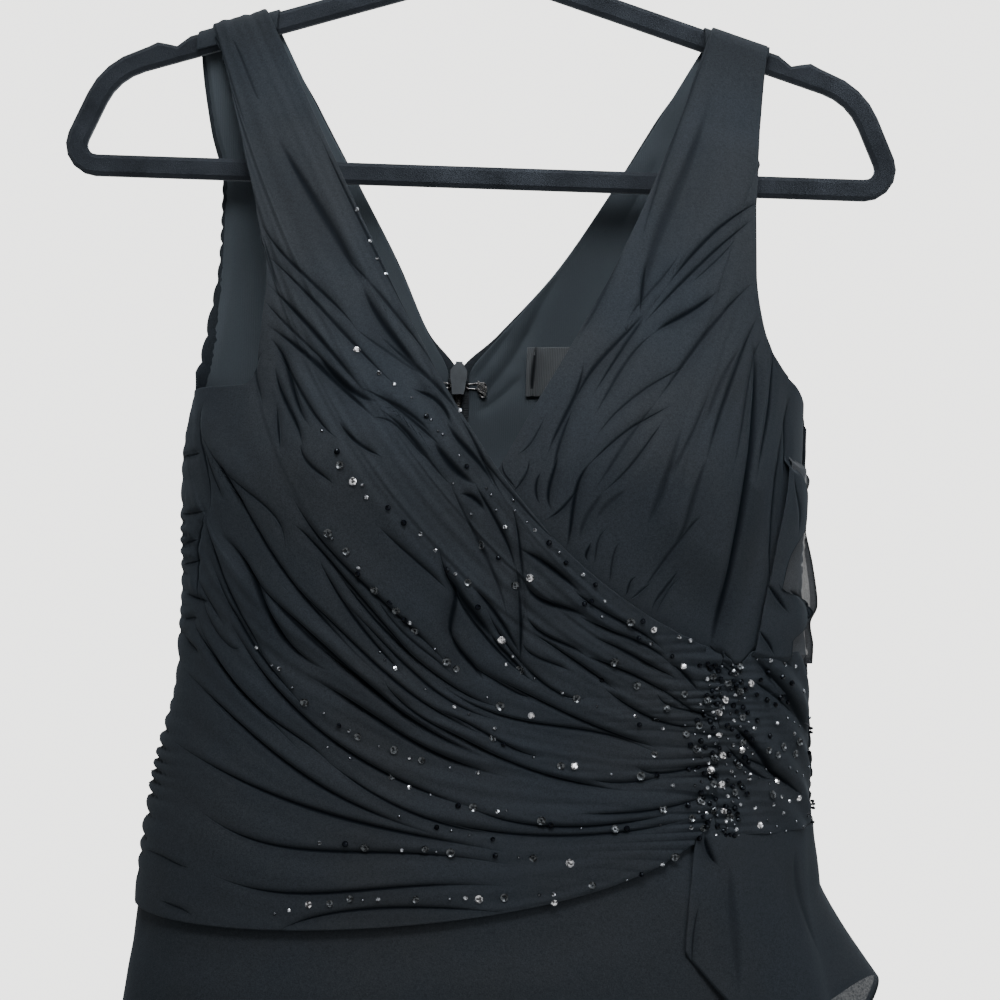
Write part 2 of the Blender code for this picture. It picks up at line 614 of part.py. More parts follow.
def hanger_frame():
    """Flat frame of two arms and a bar, with a notch in each arm and a neck for the hook."""
    round_notch = HANGER_NOTCH + np.array((-15, -8, -4, 0, 4, 9, 14), float)
    arm_x = np.concatenate(((0, 3, 6, 8, 11, 15, 22, 70, 120), round_notch))
    arm = np.stack((arm_x, arm_drop(arm_x)), axis=1)
    bar = (100.0, HANGER_BAR)
    corner = (HANGER_CORNER, arm_drop(HANGER_CORNER))
    shoulder = fillet(arm[-1], corner, HANGER_HEEL, 38.0, 5)
    heel = fillet(corner, HANGER_HEEL, bar, 11.0, 6)
    half = np.concatenate((arm, shoulder, heel, (bar,)))
    other = half[:0:-1] * (-1, 1)
    path = np.concatenate((half, other))
    ahead = np.roll(path, -1, axis=0) - path
    ahead /= np.linalg.norm(ahead, axis=1, keepdims=True)
    tangent = ahead + np.roll(ahead, 1, axis=0)
    tangent /= np.linalg.norm(tangent, axis=1, keepdims=True)
    out = np.stack((tangent[:, 1], -tangent[:, 0]), axis=1)
    reach = np.full(len(path), HANGER_WIDTH / 2)
    top = path[:, 1] < 190
    from_notch = np.abs(path[:, 0]) - HANGER_NOTCH
    reach += np.where(top, HANGER_NECK * rise((15 - np.abs(path[:, 0])) / 11), 0)
    reach -= np.where(top, 3.2 * rise(1 - np.abs(from_notch) / 8), 0)
    reach += np.where(top, 1.6 * rise(1 - np.abs(from_notch - 9) / 9), 0)
    edge = 2.2
    rings = []
    for (px, drop), (nx, nd), far in zip(path, out, reach):
        near = -HANGER_WIDTH / 2
        deep = HANGER_THICK / 2
        section = ((near, -1.5), (near + edge, -deep), (far - edge, -deep), (far, -1.5),
                   (far, 1.5), (far - edge, deep), (near + edge, deep), (near, 1.5))
        rings.append([(px + nx * r, y, -(drop + nd * r)) for r, y in section])
    return loft("hanger_frame", rings, velvet(), closed=True)


def hanger_hook():
    """Round wire hook that stands in the hanger's neck."""
    bend = HOOK_RADIUS + HOOK_WIRE
    middle = HOOK_WIRE - bend
    stem_top = arm_drop(0.0) - HANGER_WIDTH / 2 - HANGER_NECK - 1.0
    swing = np.radians(np.linspace(-48, 205, 20))
    curve = np.stack((bend * np.cos(swing), middle + bend * np.sin(swing)), axis=1)
    join_end = curve[0]
    foot = np.array((0.0, -stem_top))
    t = np.linspace(0, 1, 7)[:, None]
    lead = np.array((0.0, 1.0)) * 26
    back_lead = np.array((math.cos(swing[0] + np.pi / 2), math.sin(swing[0] + np.pi / 2))) * 14
    a, b, c, d = foot, foot + lead, join_end - back_lead, join_end
    stem = (1 - t) ** 3 * a + 3 * (1 - t) ** 2 * t * b + 3 * (1 - t) * t ** 2 * c + t ** 3 * d
    path = np.concatenate((stem[:-1], curve))
    tangent = np.gradient(path, axis=0)
    tangent /= np.linalg.norm(tangent, axis=1, keepdims=True)
    side = np.stack((-tangent[:, 1], tangent[:, 0]), axis=1)
    turn = np.radians(np.arange(0, 360, 45))
    rings = [[(px + sx * HOOK_WIRE * math.cos(t), HOOK_WIRE * math.sin(t), pz + sz * HOOK_WIRE * math.cos(t))
              for t in turn] for (px, pz), (sx, sz) in zip(path, side)]
    return loft("hanger_hook", rings, steel())


def main():
    for obj in list(bpy.data.objects):
        bpy.data.objects.remove(obj, do_unlink=True)
    columns = np.array((0, 0.10, 0.24, 0.45, 0.72, 1.0))
    wrap_front()
    under_front()
    side_band()
    back("back_right", BACK_RIGHT, columns)
    back("back_left", BACK_LEFT, columns)
    lining("lining_right", LINING_RIGHT)
    lining("lining_left", LINING_LEFT)
    label()
    skirt_front()
    skirt_back()
    flounce_lower()
    flounce_upper()
    zip_tape()
    zip_slider_and_pull()
    hanger_frame()
    hanger_hook()


main()
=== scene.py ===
import math

import bpy
import numpy as np
from mathutils import Matrix, Vector


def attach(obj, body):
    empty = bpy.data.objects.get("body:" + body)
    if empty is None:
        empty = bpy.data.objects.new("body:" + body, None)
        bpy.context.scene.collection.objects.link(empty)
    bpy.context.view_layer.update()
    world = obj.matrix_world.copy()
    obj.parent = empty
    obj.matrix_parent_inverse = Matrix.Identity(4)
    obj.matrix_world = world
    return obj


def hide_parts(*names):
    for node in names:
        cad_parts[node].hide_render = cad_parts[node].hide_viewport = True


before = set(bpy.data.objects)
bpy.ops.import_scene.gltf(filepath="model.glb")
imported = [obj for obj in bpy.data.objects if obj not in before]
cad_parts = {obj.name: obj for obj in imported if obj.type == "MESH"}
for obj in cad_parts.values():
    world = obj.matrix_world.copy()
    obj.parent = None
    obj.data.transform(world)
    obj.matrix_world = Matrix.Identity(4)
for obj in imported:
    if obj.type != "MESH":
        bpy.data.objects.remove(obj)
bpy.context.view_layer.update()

mm = 0.001


# the camera comes first, since nothing else depends on it
view = {"place": (0.0164, -1.0, -0.3894), "roll": 1.9, "lens": 66.67, "sensor": 36.0,
        "near": 0.05, "far": 30}


def putIn(name, data):
    # a new object in the scene
    made = bpy.data.objects.new(name, data)
    bpy.context.scene.collection.objects.link(made)
    return made


def makeCamera():
    made = bpy.data.cameras.new("front_view")
    made.lens, made.sensor_width = view["lens"], view["sensor"]
    made.clip_start, made.clip_end = view["near"], view["far"]
    shown = putIn("front_view", made)
    turn = (Matrix.Rotation(math.radians(90), 4, "X")
            @ Matrix.Rotation(math.radians(view["roll"]), 4, "Z"))
    shown.matrix_world = Matrix.Translation(view["place"]) @ turn
    bpy.context.scene.camera = shown


makeCamera()
print("camera set")


# a small language for materials
class Value:
    # a socket whose arithmetic adds Math nodes
    def __init__(self, finish, socket):
        self.finish, self.socket = finish, socket

    def math(self, operation, *others):
        values = {0: self}
        values.update({i + 1: other for i, other in enumerate(others)})
        return self.finish.node("ShaderNodeMath", {"operation": operation}, values)

    def __add__(self, other): return self.math("ADD", other)
    def __radd__(self, other): return self.math("ADD", other)
    def __mul__(self, other): return self.math("MULTIPLY", other)
    def __rmul__(self, other): return self.math("MULTIPLY", other)
    def __sub__(self, other): return self.math("SUBTRACT", other)
    def __rsub__(self, other): return self.math("MULTIPLY", -1.0).math("ADD", other)
    def __pow__(self, other): return self.math("POWER", other)

    def bell(self, middle, reach, power):
        # one at the middle, falling away smoothly over the reach on both sides
        return (((self - middle) * (1 / reach)).math("ABSOLUTE") ** power * -1.0).math("EXPONENT")


class Finish:
    # one material: fixed numbers go on its shader, and whatever varies comes from nodes
    def __init__(self, name, **fixed):
        self.material = bpy.data.materials.new(name)
        self.material.use_nodes = True
        self.tree = self.material.node_tree
        self.shader = self.tree.nodes["Principled BSDF"]
        for socket, number in fixed.items():
            self.feed(self.shader, socket.replace("_", " "), number)

    def feed(self, node, socket, given):
        place = node.inputs[socket]
        if isinstance(given, Value):
            self.tree.links.new(given.socket, place)
        elif isinstance(given, (tuple, list)) and place.type == "RGBA" and len(given) == 3:
            place.default_value = (*given, 1)
        else:
            place.default_value = given

    def node(self, kind, settings=None, values=None, out=0):
        made = self.tree.nodes.new(kind)
        for key, given in (settings or {}).items():
            if key == "stops":
                ramp = made.color_ramp
                while len(ramp.elements) < len(given):
                    ramp.elements.new(1.0)
                for stop, (where, tone) in zip(ramp.elements, given):
                    tones = tone if isinstance(tone, tuple) else (tone,) * 3
                    stop.position, stop.color = where, (*tones, 1)
            else:
                setattr(made, key, given)
        for socket, given in (values or {}).items():
            self.feed(made, socket, given)
        return Value(self, made.outputs[out])

    def place(self):
        return self.node("ShaderNodeTexCoord", out="Object")

    def mark(self, name, out="Fac"):
        # what the mesh carries under this name
        return self.node("ShaderNodeAttribute", {"attribute_name": name}, out=out)

    def noise(self, where, scale, detail=2.0, rough=0.5):
        return self.node("ShaderNodeTexNoise", None,
                         {"Vector": where, "Scale": scale, "Detail": detail, "Roughness": rough})

    def ramp(self, factor, *stops):
        return self.node("ShaderNodeValToRGB", {"stops": stops}, {"Fac": factor})

    def blend(self, factor, one, other, way="MIX"):
        return self.node("ShaderNodeMix", {"data_type": "RGBA", "blend_type": way},
                         {0: factor, 6: one, 7: other}, out=2)

    def creases(self):
        # Panels carry three sets of creases: how far the nearest one is, signed and counted in its own
        # widths, and how strong it is. A crease is painted shade, a dark line with a softer painted
        # shadow on its low side, and its height in millimetres is a narrow groove.
        dark, high = 0.0, 0.0
        for i in range(3):
            away, force = [
                self.node("ShaderNodeSeparateXYZ", None, {0: self.mark(name, "Vector")}, out=i)
                for name in ("away", "force")]
            line = away.bell(-0.05, 0.60, 2.6)
            lowSide = (away * -2.5 + 0.6).math("MINIMUM", 1.0).math("MAXIMUM", 0.0)
            shade = away.bell(-0.5, 2.2, 1.4) * lowSide * 0.30
            dark = (force * line.math("MAXIMUM", shade)).math("MAXIMUM", dark)
            high = force * line * -1.0 + high
        return dark, high

    def bump(self, height, strength, distance):
        return self.node("ShaderNodeBump", None,
                         {"Height": height, "Strength": strength, "Distance": distance})

    def set(self, **given):
        for socket, value in given.items():
            self.feed(self.shader, socket.replace("_", " "), value)
        return self.material


cloth = {
    "tone": (0.0165, 0.0198, 0.0245),       # black with a little blue
    "warm": (0.0185, 0.0206, 0.0236),
    "deep": (0.0003, 0.0006, 0.0013),       # painted shade at the bottom of folds and creases; also darkens stitches and hem rims
    "pale": (0.036, 0.038, 0.042),          # painted light: one thin layer made pale for the light behind it
    "sheen": 0.03, "rough": 0.78,
    # the lining's last tone is painted shade for its turned-under hems
    "lining": ((0.027, 0.033, 0.040), (0.040, 0.048, 0.056)), "liningPaintedShade": (0.003, 0.004, 0.006),
    "label": (0.070, 0.076, 0.082), "tape": (0.014, 0.015, 0.017),
}


def shade(tone, share):
    # a colour times a share
    return tuple(c * share for c in tone)


def chiffonFinish(name, tone, other, alpha=None):
    # crepe chiffon: two blacks in patches, with painted shade in the folds and creases, and a fine
    # crossing grain
    made = Finish(name, Specular_IOR_Level=0.14, Sheen_Weight=cloth["sheen"], Sheen_Roughness=0.45,
                  Sheen_Tint=(0.62, 0.80, 1.0), Specular_Tint=(0.60, 0.80, 1.0))
    where = made.place()
    patch = made.ramp(made.noise(where, 14.0, 3.0), (0.35, 0.0), (0.68, 1.0))
    grain = made.noise(where, 1500.0, 1.0, 0.6)
    across = made.noise(where, 620.0, 2.0, 0.7)
    speck = made.ramp(grain * 0.6 + across * 0.4, (0.30, 0.70), (0.70, 1.32))
    lit = made.blend(1.0, made.blend(patch, tone, other), speck, "MULTIPLY")
    line, groove = made.creases()
    depth = made.mark("fold").math("MAXIMUM", line)
    ruffle = made.noise(where, 120.0, 2.0) * 0.04 + grain * 0.07 + across * 0.03
    # painted shade: the fold mark and the creases darken the cloth towards the painted shade tone
    made.set(Base_Color=made.blend(depth, lit, cloth["deep"]),
             Roughness=made.noise(where, 60.0) * 0.10 + cloth["rough"],
             Normal=made.bump(groove * 0.5 + ruffle, 1.0, 0.001))
    if alpha is not None:
        made.set(Alpha=alpha(made, where))
    return made.material


def satinFinish():
    # the lining: a smoother, greyer weave with a faint upright rib, and painted shade where the mesh
    # marks a fold, on its turned-under hems
    made = Finish("lining_satin", Specular_IOR_Level=0.24, Sheen_Weight=0.10, Sheen_Roughness=0.4,
                  Sheen_Tint=(0.62, 0.80, 1.0), Specular_Tint=(0.70, 0.86, 1.0))
    where = made.place()
    patch = made.noise(where, 22.0, 3.0)
    grain = made.noise(where, 1700.0, 1.0)
    rib = made.node("ShaderNodeTexWave", {"bands_direction": "X"},
                    {"Vector": where, "Scale": 260.0, "Distortion": 1.5, "Detail": 1.0})
    dark, pale = cloth["lining"]
    lit = made.ramp(patch * 0.6 + grain * 0.4, (0.3, dark), (0.7, pale))
    return made.set(Base_Color=made.blend(made.mark("fold"), lit, cloth["liningPaintedShade"]),
                    Roughness=patch * 0.15 + 0.52,
                    Normal=made.bump(grain * 0.6 + rib * 0.4, 0.30, 0.0003))


# the body's surfaces, worked out as the solids were
def table(columns, rows):
    # columns by name
    return dict(zip(columns.split(), np.array(rows, float).T))


body = {
    "hem": 1100.0, "backCentre": -9.0, "bandLeft": 131.8, "bandTop": 461.0, "bandBottom": 556.0,
    "seam": 0.3,            # gap between two pieces
    "tuck": 3.6,            # how far a covered edge sinks
    "swell": 1.4,           # how far the cloth stands out at a side seam
    "fullness": 0.30,       # how much the oval is squared up
    "hair": 1e-6,           # keeps the backs off the side line of the fronts
    "apex": 95.5, "slope": math.tan(math.radians(17.3)), "lift": 1.5,      # top of the hanger's arms
    "roll": 6.2, "ease": 60.0,      # radius of a strap's roll over the arm, and where it flattens
}
levels = table("drop left right front back", (
    (100, -192, 198, 4, 4), (130, -187, 194, 7, 6), (170, -181, 192, 16, 11),
    (225, -172, 188, 37, 20), (280, -161, 182, 57, 32), (333, -150, 178, 73, 43),
    (380, -153, 178, 84, 49), (430, -151, 178, 80, 48), (480, -152, 183, 71, 45),
    (520, -158, 186, 67, 44), (580, -168, 190, 74, 52), (660, -177, 203, 83, 62),
    (800, -200, 224, 92, 72), (950, -225, 248, 100, 82), (1110, -249, 271, 109, 93)))
cups = ((-66, 372, 62, 9), (92, 372, 60, 8))        # x, drop, radius, height

lineColumns = "pleat x drop leave pull endX endDrop arrive push fold begin"
wrapLines = table(lineColumns, (
    (0.0, -112, 142, 63.6, 219, 131, 464, 22.5, 123, 1.2, 0.0),
    (2.5, -126, 147, 64, 228, 131, 474, 16, 97, 1.6, 0.0),
    (5.0, -141, 152, 71, 213, 131, 483, 15, 97, 1.6, 0.0),
    (8.0, -115, 243, 70, 152, 131, 494, 13, 97, 2.6, 0.0),
    (10.5, -107, 285, 70, 130, 131, 504, 11, 97, 3.0, 0.0),
    (11.5, -110, 326, 74, 124, 131, 507, 10, 99, 2.4, 0.0),
    (12.0, -116, 335, 78, 124, 131, 509, 9, 99, 1.6, 0.25),
    (13.0, -149, 337, 82, 138, 131, 513, 6, 102, 1.6, 0.3),
    (14.0, -153, 363, 76, 126, 131, 517, 3, 102, 3.0, 0.0),
    (17.0, -153, 411, 64, 113, 131, 528, -3, 105, 3.2, 0.0),
    (20.0, -150, 470, 48, 103, 131, 539, -10, 107, 3.2, 0.0),
    (22.5, -155, 523, 31, 98, 128, 548, -18, 109, 3.6, 0.0),
    (24.5, -167, 571, 20, 92, 123, 556, -29, 92, 3.8, 0.0),
    (25.7, -170, 609, 2, 92, 118, 561, -38, 64, 2.8, 0.0)))
underLines = table(lineColumns, (
    (0.0, 119, 143, 107, 158, 7.6, 392, 111, 58, 1.2, 0.20),
    (1.5, 130, 147, 105, 172, 31, 414, 124, 80, 2.0, 0.25),
    (3.0, 141, 150, 100, 172, 48, 430, 122, 85, 2.4, 0.25),
    (4.5, 151, 153, 94, 172, 63, 440, 120, 90, 2.4, 0.20),
    (6.0, 145, 236, 114, 127, 74, 449, 116, 85, 2.6, 0.0),
    (8.0, 145, 268, 113, 126, 92, 460, 110, 80, 2.8, 0.0),
    (9.5, 149, 297, 103, 110, 110, 470, 104, 76, 3.4, 0.0),
    (11.0, 162, 319, 97, 91, 132, 479, 102, 71, 1.6, 0.0),
    (12.0, 171, 326, 96, 87, 143, 483, 101, 72, 2.2, 0.3),
    (13.0, 178, 334, 91, 77, 187, 487, 86, 70, 0.8, 0.3)))

rungColumns = "rung outX outDrop inX inDrop"
backRightRungs = table(rungColumns, (
    (0, -154, 124, -112, 111), (1, -153, 151, -111, 138), (2, -147, 193, -89, 180),
    (3, -140, 224, -66, 221), (4, -141, 262, -44, 261), (5, -146, 296, -27, 297),
    (6, -149, 320, -10, 320), (7, -151, 337, -9, 345), (8, -171, 613, -9, 591)))
backLeftRungs = table(rungColumns, (
    (0, 151, 124, 119, 114), (1, 150, 151, 118, 141), (2, 144, 193, 94, 182),
    (3, 142, 227, 69, 224), (4, 141, 262, 43, 263), (5, 145, 296, 13, 297), (6, 156, 320, -8, 320),
    (7, 178, 337, -9, 345), (8, 190, 564, -9, 591)))
liningRightRungs = table(rungColumns, (
    (1, -152.2, 152, -113, 140), (2, -146.2, 193, -91, 182), (3, -139.2, 224, -68, 222),
    (4, -140.2, 262, -46, 262), (5, -145.2, 296, -29, 298), (6, -148.2, 320, -15.3, 322),
    (7, -150, 337, -15.3, 345), (8, -146, 430, -15.3, 430)))
liningLeftRungs = table(rungColumns, (
    (1, 148, 153, 120, 143), (2, 142, 193, 96, 184), (3, 140, 227, 71, 225), (4, 139, 262, 45, 264),
    (5, 140, 296, 16, 298), (6, 146, 320, -2.7, 322), (7, 152, 337, -2.7, 345),
    (8, 142, 430, -2.7, 430)))
skirtTop = table("x drop", (
    (-175, 598), (-62, 595), (1, 587), (58, 582), (93, 568), (118, 550), (200, 544)))


def smooth(where, stations, values):
    # monotone cubic curve through a table's column
    step = np.diff(stations)
    slope = np.diff(values) / step
    total = slope[1:] + slope[:-1]
    same = slope[1:] * slope[:-1] > 0
    inner = np.where(same, 2 * slope[1:] * slope[:-1] / np.where(same, total, 1), 0)
    tangent = np.concatenate((slope[:1], inner, slope[-1:]))
    i = np.clip(np.searchsorted(stations, where, side="right") - 1, 0, len(step) - 1)
    u = np.clip((where - stations[i]) / step[i], 0, 1)
    return ((2 * u ** 3 - 3 * u ** 2 + 1) * values[i] + (u ** 3 - 2 * u ** 2 + u) * step[i] * tangent[i]
            + (3 * u ** 2 - 2 * u ** 3) * values[i + 1] + (u ** 3 - u ** 2) * step[i] * tangent[i + 1])


def readAt(rows, where):
    # every further column of a table, read off at places along its first
    first, *others = rows
    return {key: smooth(where, rows[first], rows[key]) for key in others}


def rise(u):
    u = np.clip(u, 0, 1)                    # soft step from 0 to 1
    return u * u * (3 - 2 * u)


def level(fall, column):
    # one of the body's measures at a drop
    return smooth(fall, levels["drop"], levels[column])


def crest(x):
    return body["apex"] + np.abs(x) * body["slope"] - body["lift"]      # where a strap tops the arm


def span(fall):
    # middle and half width of the body
    left, right = level(fall, "left"), level(fall, "right")
    return (left + right) / 2, (right - left) / 2


def turnAt(x, fall, behind=False):
    # angle round the body: sine of the angle is x measured from the middle in half widths
    middle, half = span(fall)
    turn = np.arcsin(np.clip((x - middle) / half, -1, 1))
    return np.pi - turn if behind else turn


def place(turn, fall):
    # oval of the body: x is half width times sine, depth is depth times cosine, squared up a little,
    # with two round cups in front, and above the arm the cloth rolls over in a half circle
    middle, half = span(fall)
    x = middle + half * np.sin(turn)
    front = np.cos(turn) > 0
    depth = np.where(front, level(fall, "front"), level(fall, "back"))
    depth = depth * np.abs(np.cos(turn)) * (1 + body["fullness"] * np.sin(turn) ** 2)
    for cupX, cupDrop, radius, height in cups:
        away = ((x - cupX) ** 2 + (fall - cupDrop) ** 2) / radius ** 2
        depth = depth + np.where(front, height * np.exp(-away) * np.abs(np.cos(turn)), 0)
    roll = body["roll"]
    hang = fall - crest(x) - roll
    flat = 1 - rise(hang / body["ease"])
    below = depth + (roll - depth) * flat + body["seam"] / 2
    over = np.clip(-hang / roll, 0, np.pi)
    past = np.maximum(-hang - np.pi * roll, 0)
    y = np.where(hang > 0, below, roll * np.cos(over) + body["seam"] / 2)
    drop = np.where(hang > 0, fall, crest(x) + roll * (1 - np.sin(over)) + past)
    return np.stack((x, np.where(front, -y, y), -drop), axis=-1)


def unit(v):
    return v / np.maximum(np.linalg.norm(v, axis=-1, keepdims=True), 1e-12)


def outward(turn, fall):
    # the surface's normal: the way round crossed with the way up
    across = place(turn + 0.002, fall) - place(turn - 0.002, fall)
    up = place(turn, fall - 0.2) - place(turn, fall + 0.2)
    return unit(np.cross(across, up))


def pleatLines(lines, pleat, along):
    # Bezier curves in x and drop, whose ends and handles are read off the table at each pleat
    value = readAt(lines, pleat)
    leave, arrive = np.radians(value["leave"]), np.radians(value["arrive"])
    first = (value["x"] + value["pull"] * np.cos(leave),
             value["drop"] + value["pull"] * np.sin(leave))
    last = (value["endX"] - value["push"] * np.cos(arrive),
            value["endDrop"] - value["push"] * np.sin(arrive))
    t = along
    ends = (value["x"], value["drop"]), (value["endX"], value["endDrop"])
    x, fall = [(1 - t) ** 3 * a + 3 * (1 - t) ** 2 * t * b + 3 * (1 - t) * t ** 2 * c + t ** 3 * d
               for a, b, c, d in zip(ends[0], first, last, ends[1])]
    return x, fall, value


def evenPleats(lines, count):
    # pleat stations at equal distances, measured at three places along the lines
    pleat = np.linspace(0, lines["pleat"][-1], 400)
    length = np.zeros(len(pleat))
    for along in (0.02, 0.3, 0.6):
        x, fall, _ = pleatLines(lines, pleat, np.full(len(pleat), along))
        length[1:] += np.hypot(np.diff(x), np.diff(fall))
    length = np.cumsum(length)
    return np.interp(np.linspace(0, length[-1], count), length, pleat)


def throughFour(t):
    # weights of the cubic through four evenly spaced points, at shares t from the first to the last
    return np.stack(((1 - 3 * t) * (2 - 3 * t) * (1 - t) / 2, 4.5 * t * (1 - t) * (2 - 3 * t),
                     4.5 * t * (1 - t) * (3 * t - 1), t * (3 * t - 1) * (3 * t - 2) / 2), axis=-1)


def shares(piece, power=1):
    # shares across and down a piece, from 0 to 1; a power over 1 draws the rows together at the top
    return np.meshgrid(np.linspace(0, 1, piece["columns"]), np.linspace(0, 1, piece["rows"]) ** power)


def closeAtFirst(count):
    # shares from 0 to 1, four times as close together over the first tenth
    return np.interp(np.linspace(0, 1, count), (0, 0.16, 0.24, 1), (0, 0.05, 0.12, 1))


# folds
crease = {"height": 0.9, "steep": 1.3, "gentle": 0.8, "lip": 0.20, "swell": 0.42, "far": 8.0}


def layFolds(rows, x, fall):
    # Each row is a cubic through four points in x and drop, with its depth and width. Across it the
    # cloth drops into a groove: steeply under the lap on its upper side, gently on the lower side,
    # with a soft lip and a low swell above. Returns the height for the mesh, and for the material
    # the distance to the nearest crease and its strength, from which it paints the crease's shade.
    # The creases are dealt into three sets, each to the set where it lies furthest from the others,
    # so that thin lines stay sharp between the points of the mesh.
    height = np.zeros(x.shape)
    away, closest, second = [np.full((x.size, 3), crease["far"]) for _ in range(3)]
    force, laid = np.zeros((x.size, 3)), ([], [], [])
    t = np.linspace(0, 1, 41)
    weights = throughFour(t)
    for row in np.array(rows, float):
        path = weights @ row[:8].reshape(4, 2)
        depth, width = row[8:]
        clear = [min([np.linalg.norm(path[:, None] - other, axis=-1).min() for other in done] + [99])
                 for done in laid]
        chosen = int(np.argmax(clear))
        laid[chosen].append(path)
        long = np.hypot(*np.diff(path, axis=0).T).sum()
        tangent = unit(np.gradient(path, axis=0))
        upright = tangent if path[-1, 0] > path[0, 0] else -tangent
        reach = 12 * width + 2
        near = ((x > path[:, 0].min() - reach) & (x < path[:, 0].max() + reach)
                & (fall > path[:, 1].min() - reach) & (fall < path[:, 1].max() + reach))
        spot = np.flatnonzero(near)
        if not len(spot):
            continue
        point = np.stack((x.ravel()[spot], fall.ravel()[spot]), axis=1)
        k = ((point[:, None] - path[None]) ** 2).sum(-1).argmin(1)
        gap = point - path[k]
        side = gap[:, 0] * upright[k, 1] - gap[:, 1] * upright[k, 0]
        share = t[k] + (gap * tangent[k]).sum(1) / long
        taper = rise((share + 0.06) / 0.26) * rise((1.06 - share) / 0.30)
        u = side / max(width, 1.5)
        groove = np.exp(-(np.abs(u) * np.where(u > 0, crease["steep"], crease["gentle"])) ** 1.5)
        lip = (crease["lip"] * np.exp(-((u - 2.2) / 1.4) ** 2)
               + crease["swell"] * np.exp(-((u - 5) / 3.6) ** 2))
        height.ravel()[spot] += crease["height"] * taper * depth * (lip - groove)
        thick = 0.8 * width ** 1.5
        u = side / (thick * (0.5 + 0.95 * np.sin(np.pi * np.clip(share, 0, 1)) ** 1.5))
        far = np.hypot(*gap.T) / thick
        nearest = far < closest[spot, chosen]
        second[spot, chosen] = np.where(nearest, closest[spot, chosen],
                                        np.minimum(second[spot, chosen], far))
        closest[spot[nearest], chosen] = far[nearest]
        away[spot[nearest], chosen] = np.clip(u, -crease["far"], crease["far"])[nearest]
        strength = taper * rise(depth / 1.7) * rise((3.8 - np.abs(u)) / 1.4)
        force[spot[nearest], chosen] = strength[nearest]
    force *= rise((second - closest - 0.3) / 1.7)       # nothing where two creases of a set meet
    return height, np.concatenate((away, force), axis=1).reshape(x.shape + (6,))


# meshes
def gridNormals(points):
    # a grid's way across crossed with its way up
    across = np.gradient(points, axis=1)
    down = np.gradient(points, axis=0)
    return unit(np.cross(across, -down))


def hemSide(points, marks, sign, radius, back, steps):
    # turns the first column under: a half circle of the given radius, then a strip that runs back
    # inside the cloth for a few columns
    normal = sign * gridNormals(points)
    edge = unit(points[:, 0] - points[:, min(2, points.shape[1] - 1)])
    roll = [points[:, 0] + radius * math.sin(a) * edge - radius * (1 - math.cos(a)) * normal[:, 0]
            for a in np.radians((35, 80, 125, 180))]
    walk = np.cumsum(np.linalg.norm(np.diff(points, axis=1), axis=-1).mean(0))
    columns = [min(int(np.searchsorted(walk, back * (i + 1) / steps)) + 1, points.shape[1] - 1)
               for i in range(steps)]
    strip = [points[:, k] - 2 * radius * normal[:, k] for k in columns]
    extra = np.stack((strip[::-1] + roll[::-1]), axis=1)
    shade = np.repeat(marks[:, :1], extra.shape[1], axis=1)
    # the turned-under strip gets painted shade, and no creases
    shade[:, :steps + 1] = 0
    shade[:, :steps + 1, 0] = 0.15
    return np.concatenate((extra, points), axis=1), np.concatenate((shade, marks), axis=1)


def flip(pair, how):
    # the same turn of a grid for its points and its marks
    return tuple(how(part) for part in pair)


def turnEdges(points, marks, sides, sign, radius, back, steps=2):
    # each named side of the grid is brought to the first column, turned under and put back
    ways = {"first": (lambda a: a, lambda a: a, 1),
            "last": (lambda a: a[:, ::-1], lambda a: a[:, ::-1], -1),
            "top": (lambda a: a.swapaxes(0, 1), lambda a: a.swapaxes(0, 1), -1),
            "bottom": (lambda a: a[::-1].swapaxes(0, 1), lambda a: a.swapaxes(0, 1)[::-1], 1)}
    for side in sides:
        there, home, turned = ways[side]
        pair = hemSide(*flip((points, marks), there), sign * turned, radius, back, steps)
        points, marks = flip(pair, home)
    return points, marks


def addMesh(name, points, faces, material, marks=None, sharp=False, slot=None, rides="dress"):
    # points in millimetres, faces as an array with three or four corners a row
    mesh = bpy.data.meshes.new(name)
    mesh.vertices.add(len(points))
    mesh.vertices.foreach_set("co", (np.asarray(points, float) * mm).ravel())
    faces = np.asarray(faces)
    mesh.loops.add(faces.size)
    mesh.loops.foreach_set("vertex_index", faces.ravel())
    mesh.polygons.add(len(faces))
    mesh.polygons.foreach_set("loop_start", np.arange(len(faces)) * faces.shape[1])
    mesh.polygons.foreach_set("use_smooth", np.full(len(faces), not sharp))
    if marks is not None:
        marks = marks.reshape(-1, 7)
        # the fold mark is painted shade for the material, in notches, troughs, grooves and turned-under
        # hems, and also darkens stitches and hem rims
        mesh.attributes.new("fold", "FLOAT", "POINT").data.foreach_set("value", marks[:, 0].copy())
        for key, part in (("away", marks[:, 1:4]), ("force", marks[:, 4:])):
            mesh.attributes.new(key, "FLOAT_VECTOR", "POINT").data.foreach_set("vector", part.ravel())
    mesh.update(calc_edges=True)
    mesh.validate()
    mesh.materials.append(material)
    made = putIn(name, mesh)
    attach(made, rides)
    return made


def gridFaces(rows, columns, outwards=True):
    # the four corners of each cell of a grid
    number = np.arange(rows * columns).reshape(rows, columns)
    a, b, c, d = number[:-1, :-1], number[:-1, 1:], number[1:, 1:], number[1:, :-1]
    order = (a, d, c, b) if outwards else (a, b, c, d)
    return np.stack([f.ravel() for f in order], axis=1)


allSides = ("first", "last", "top", "bottom")


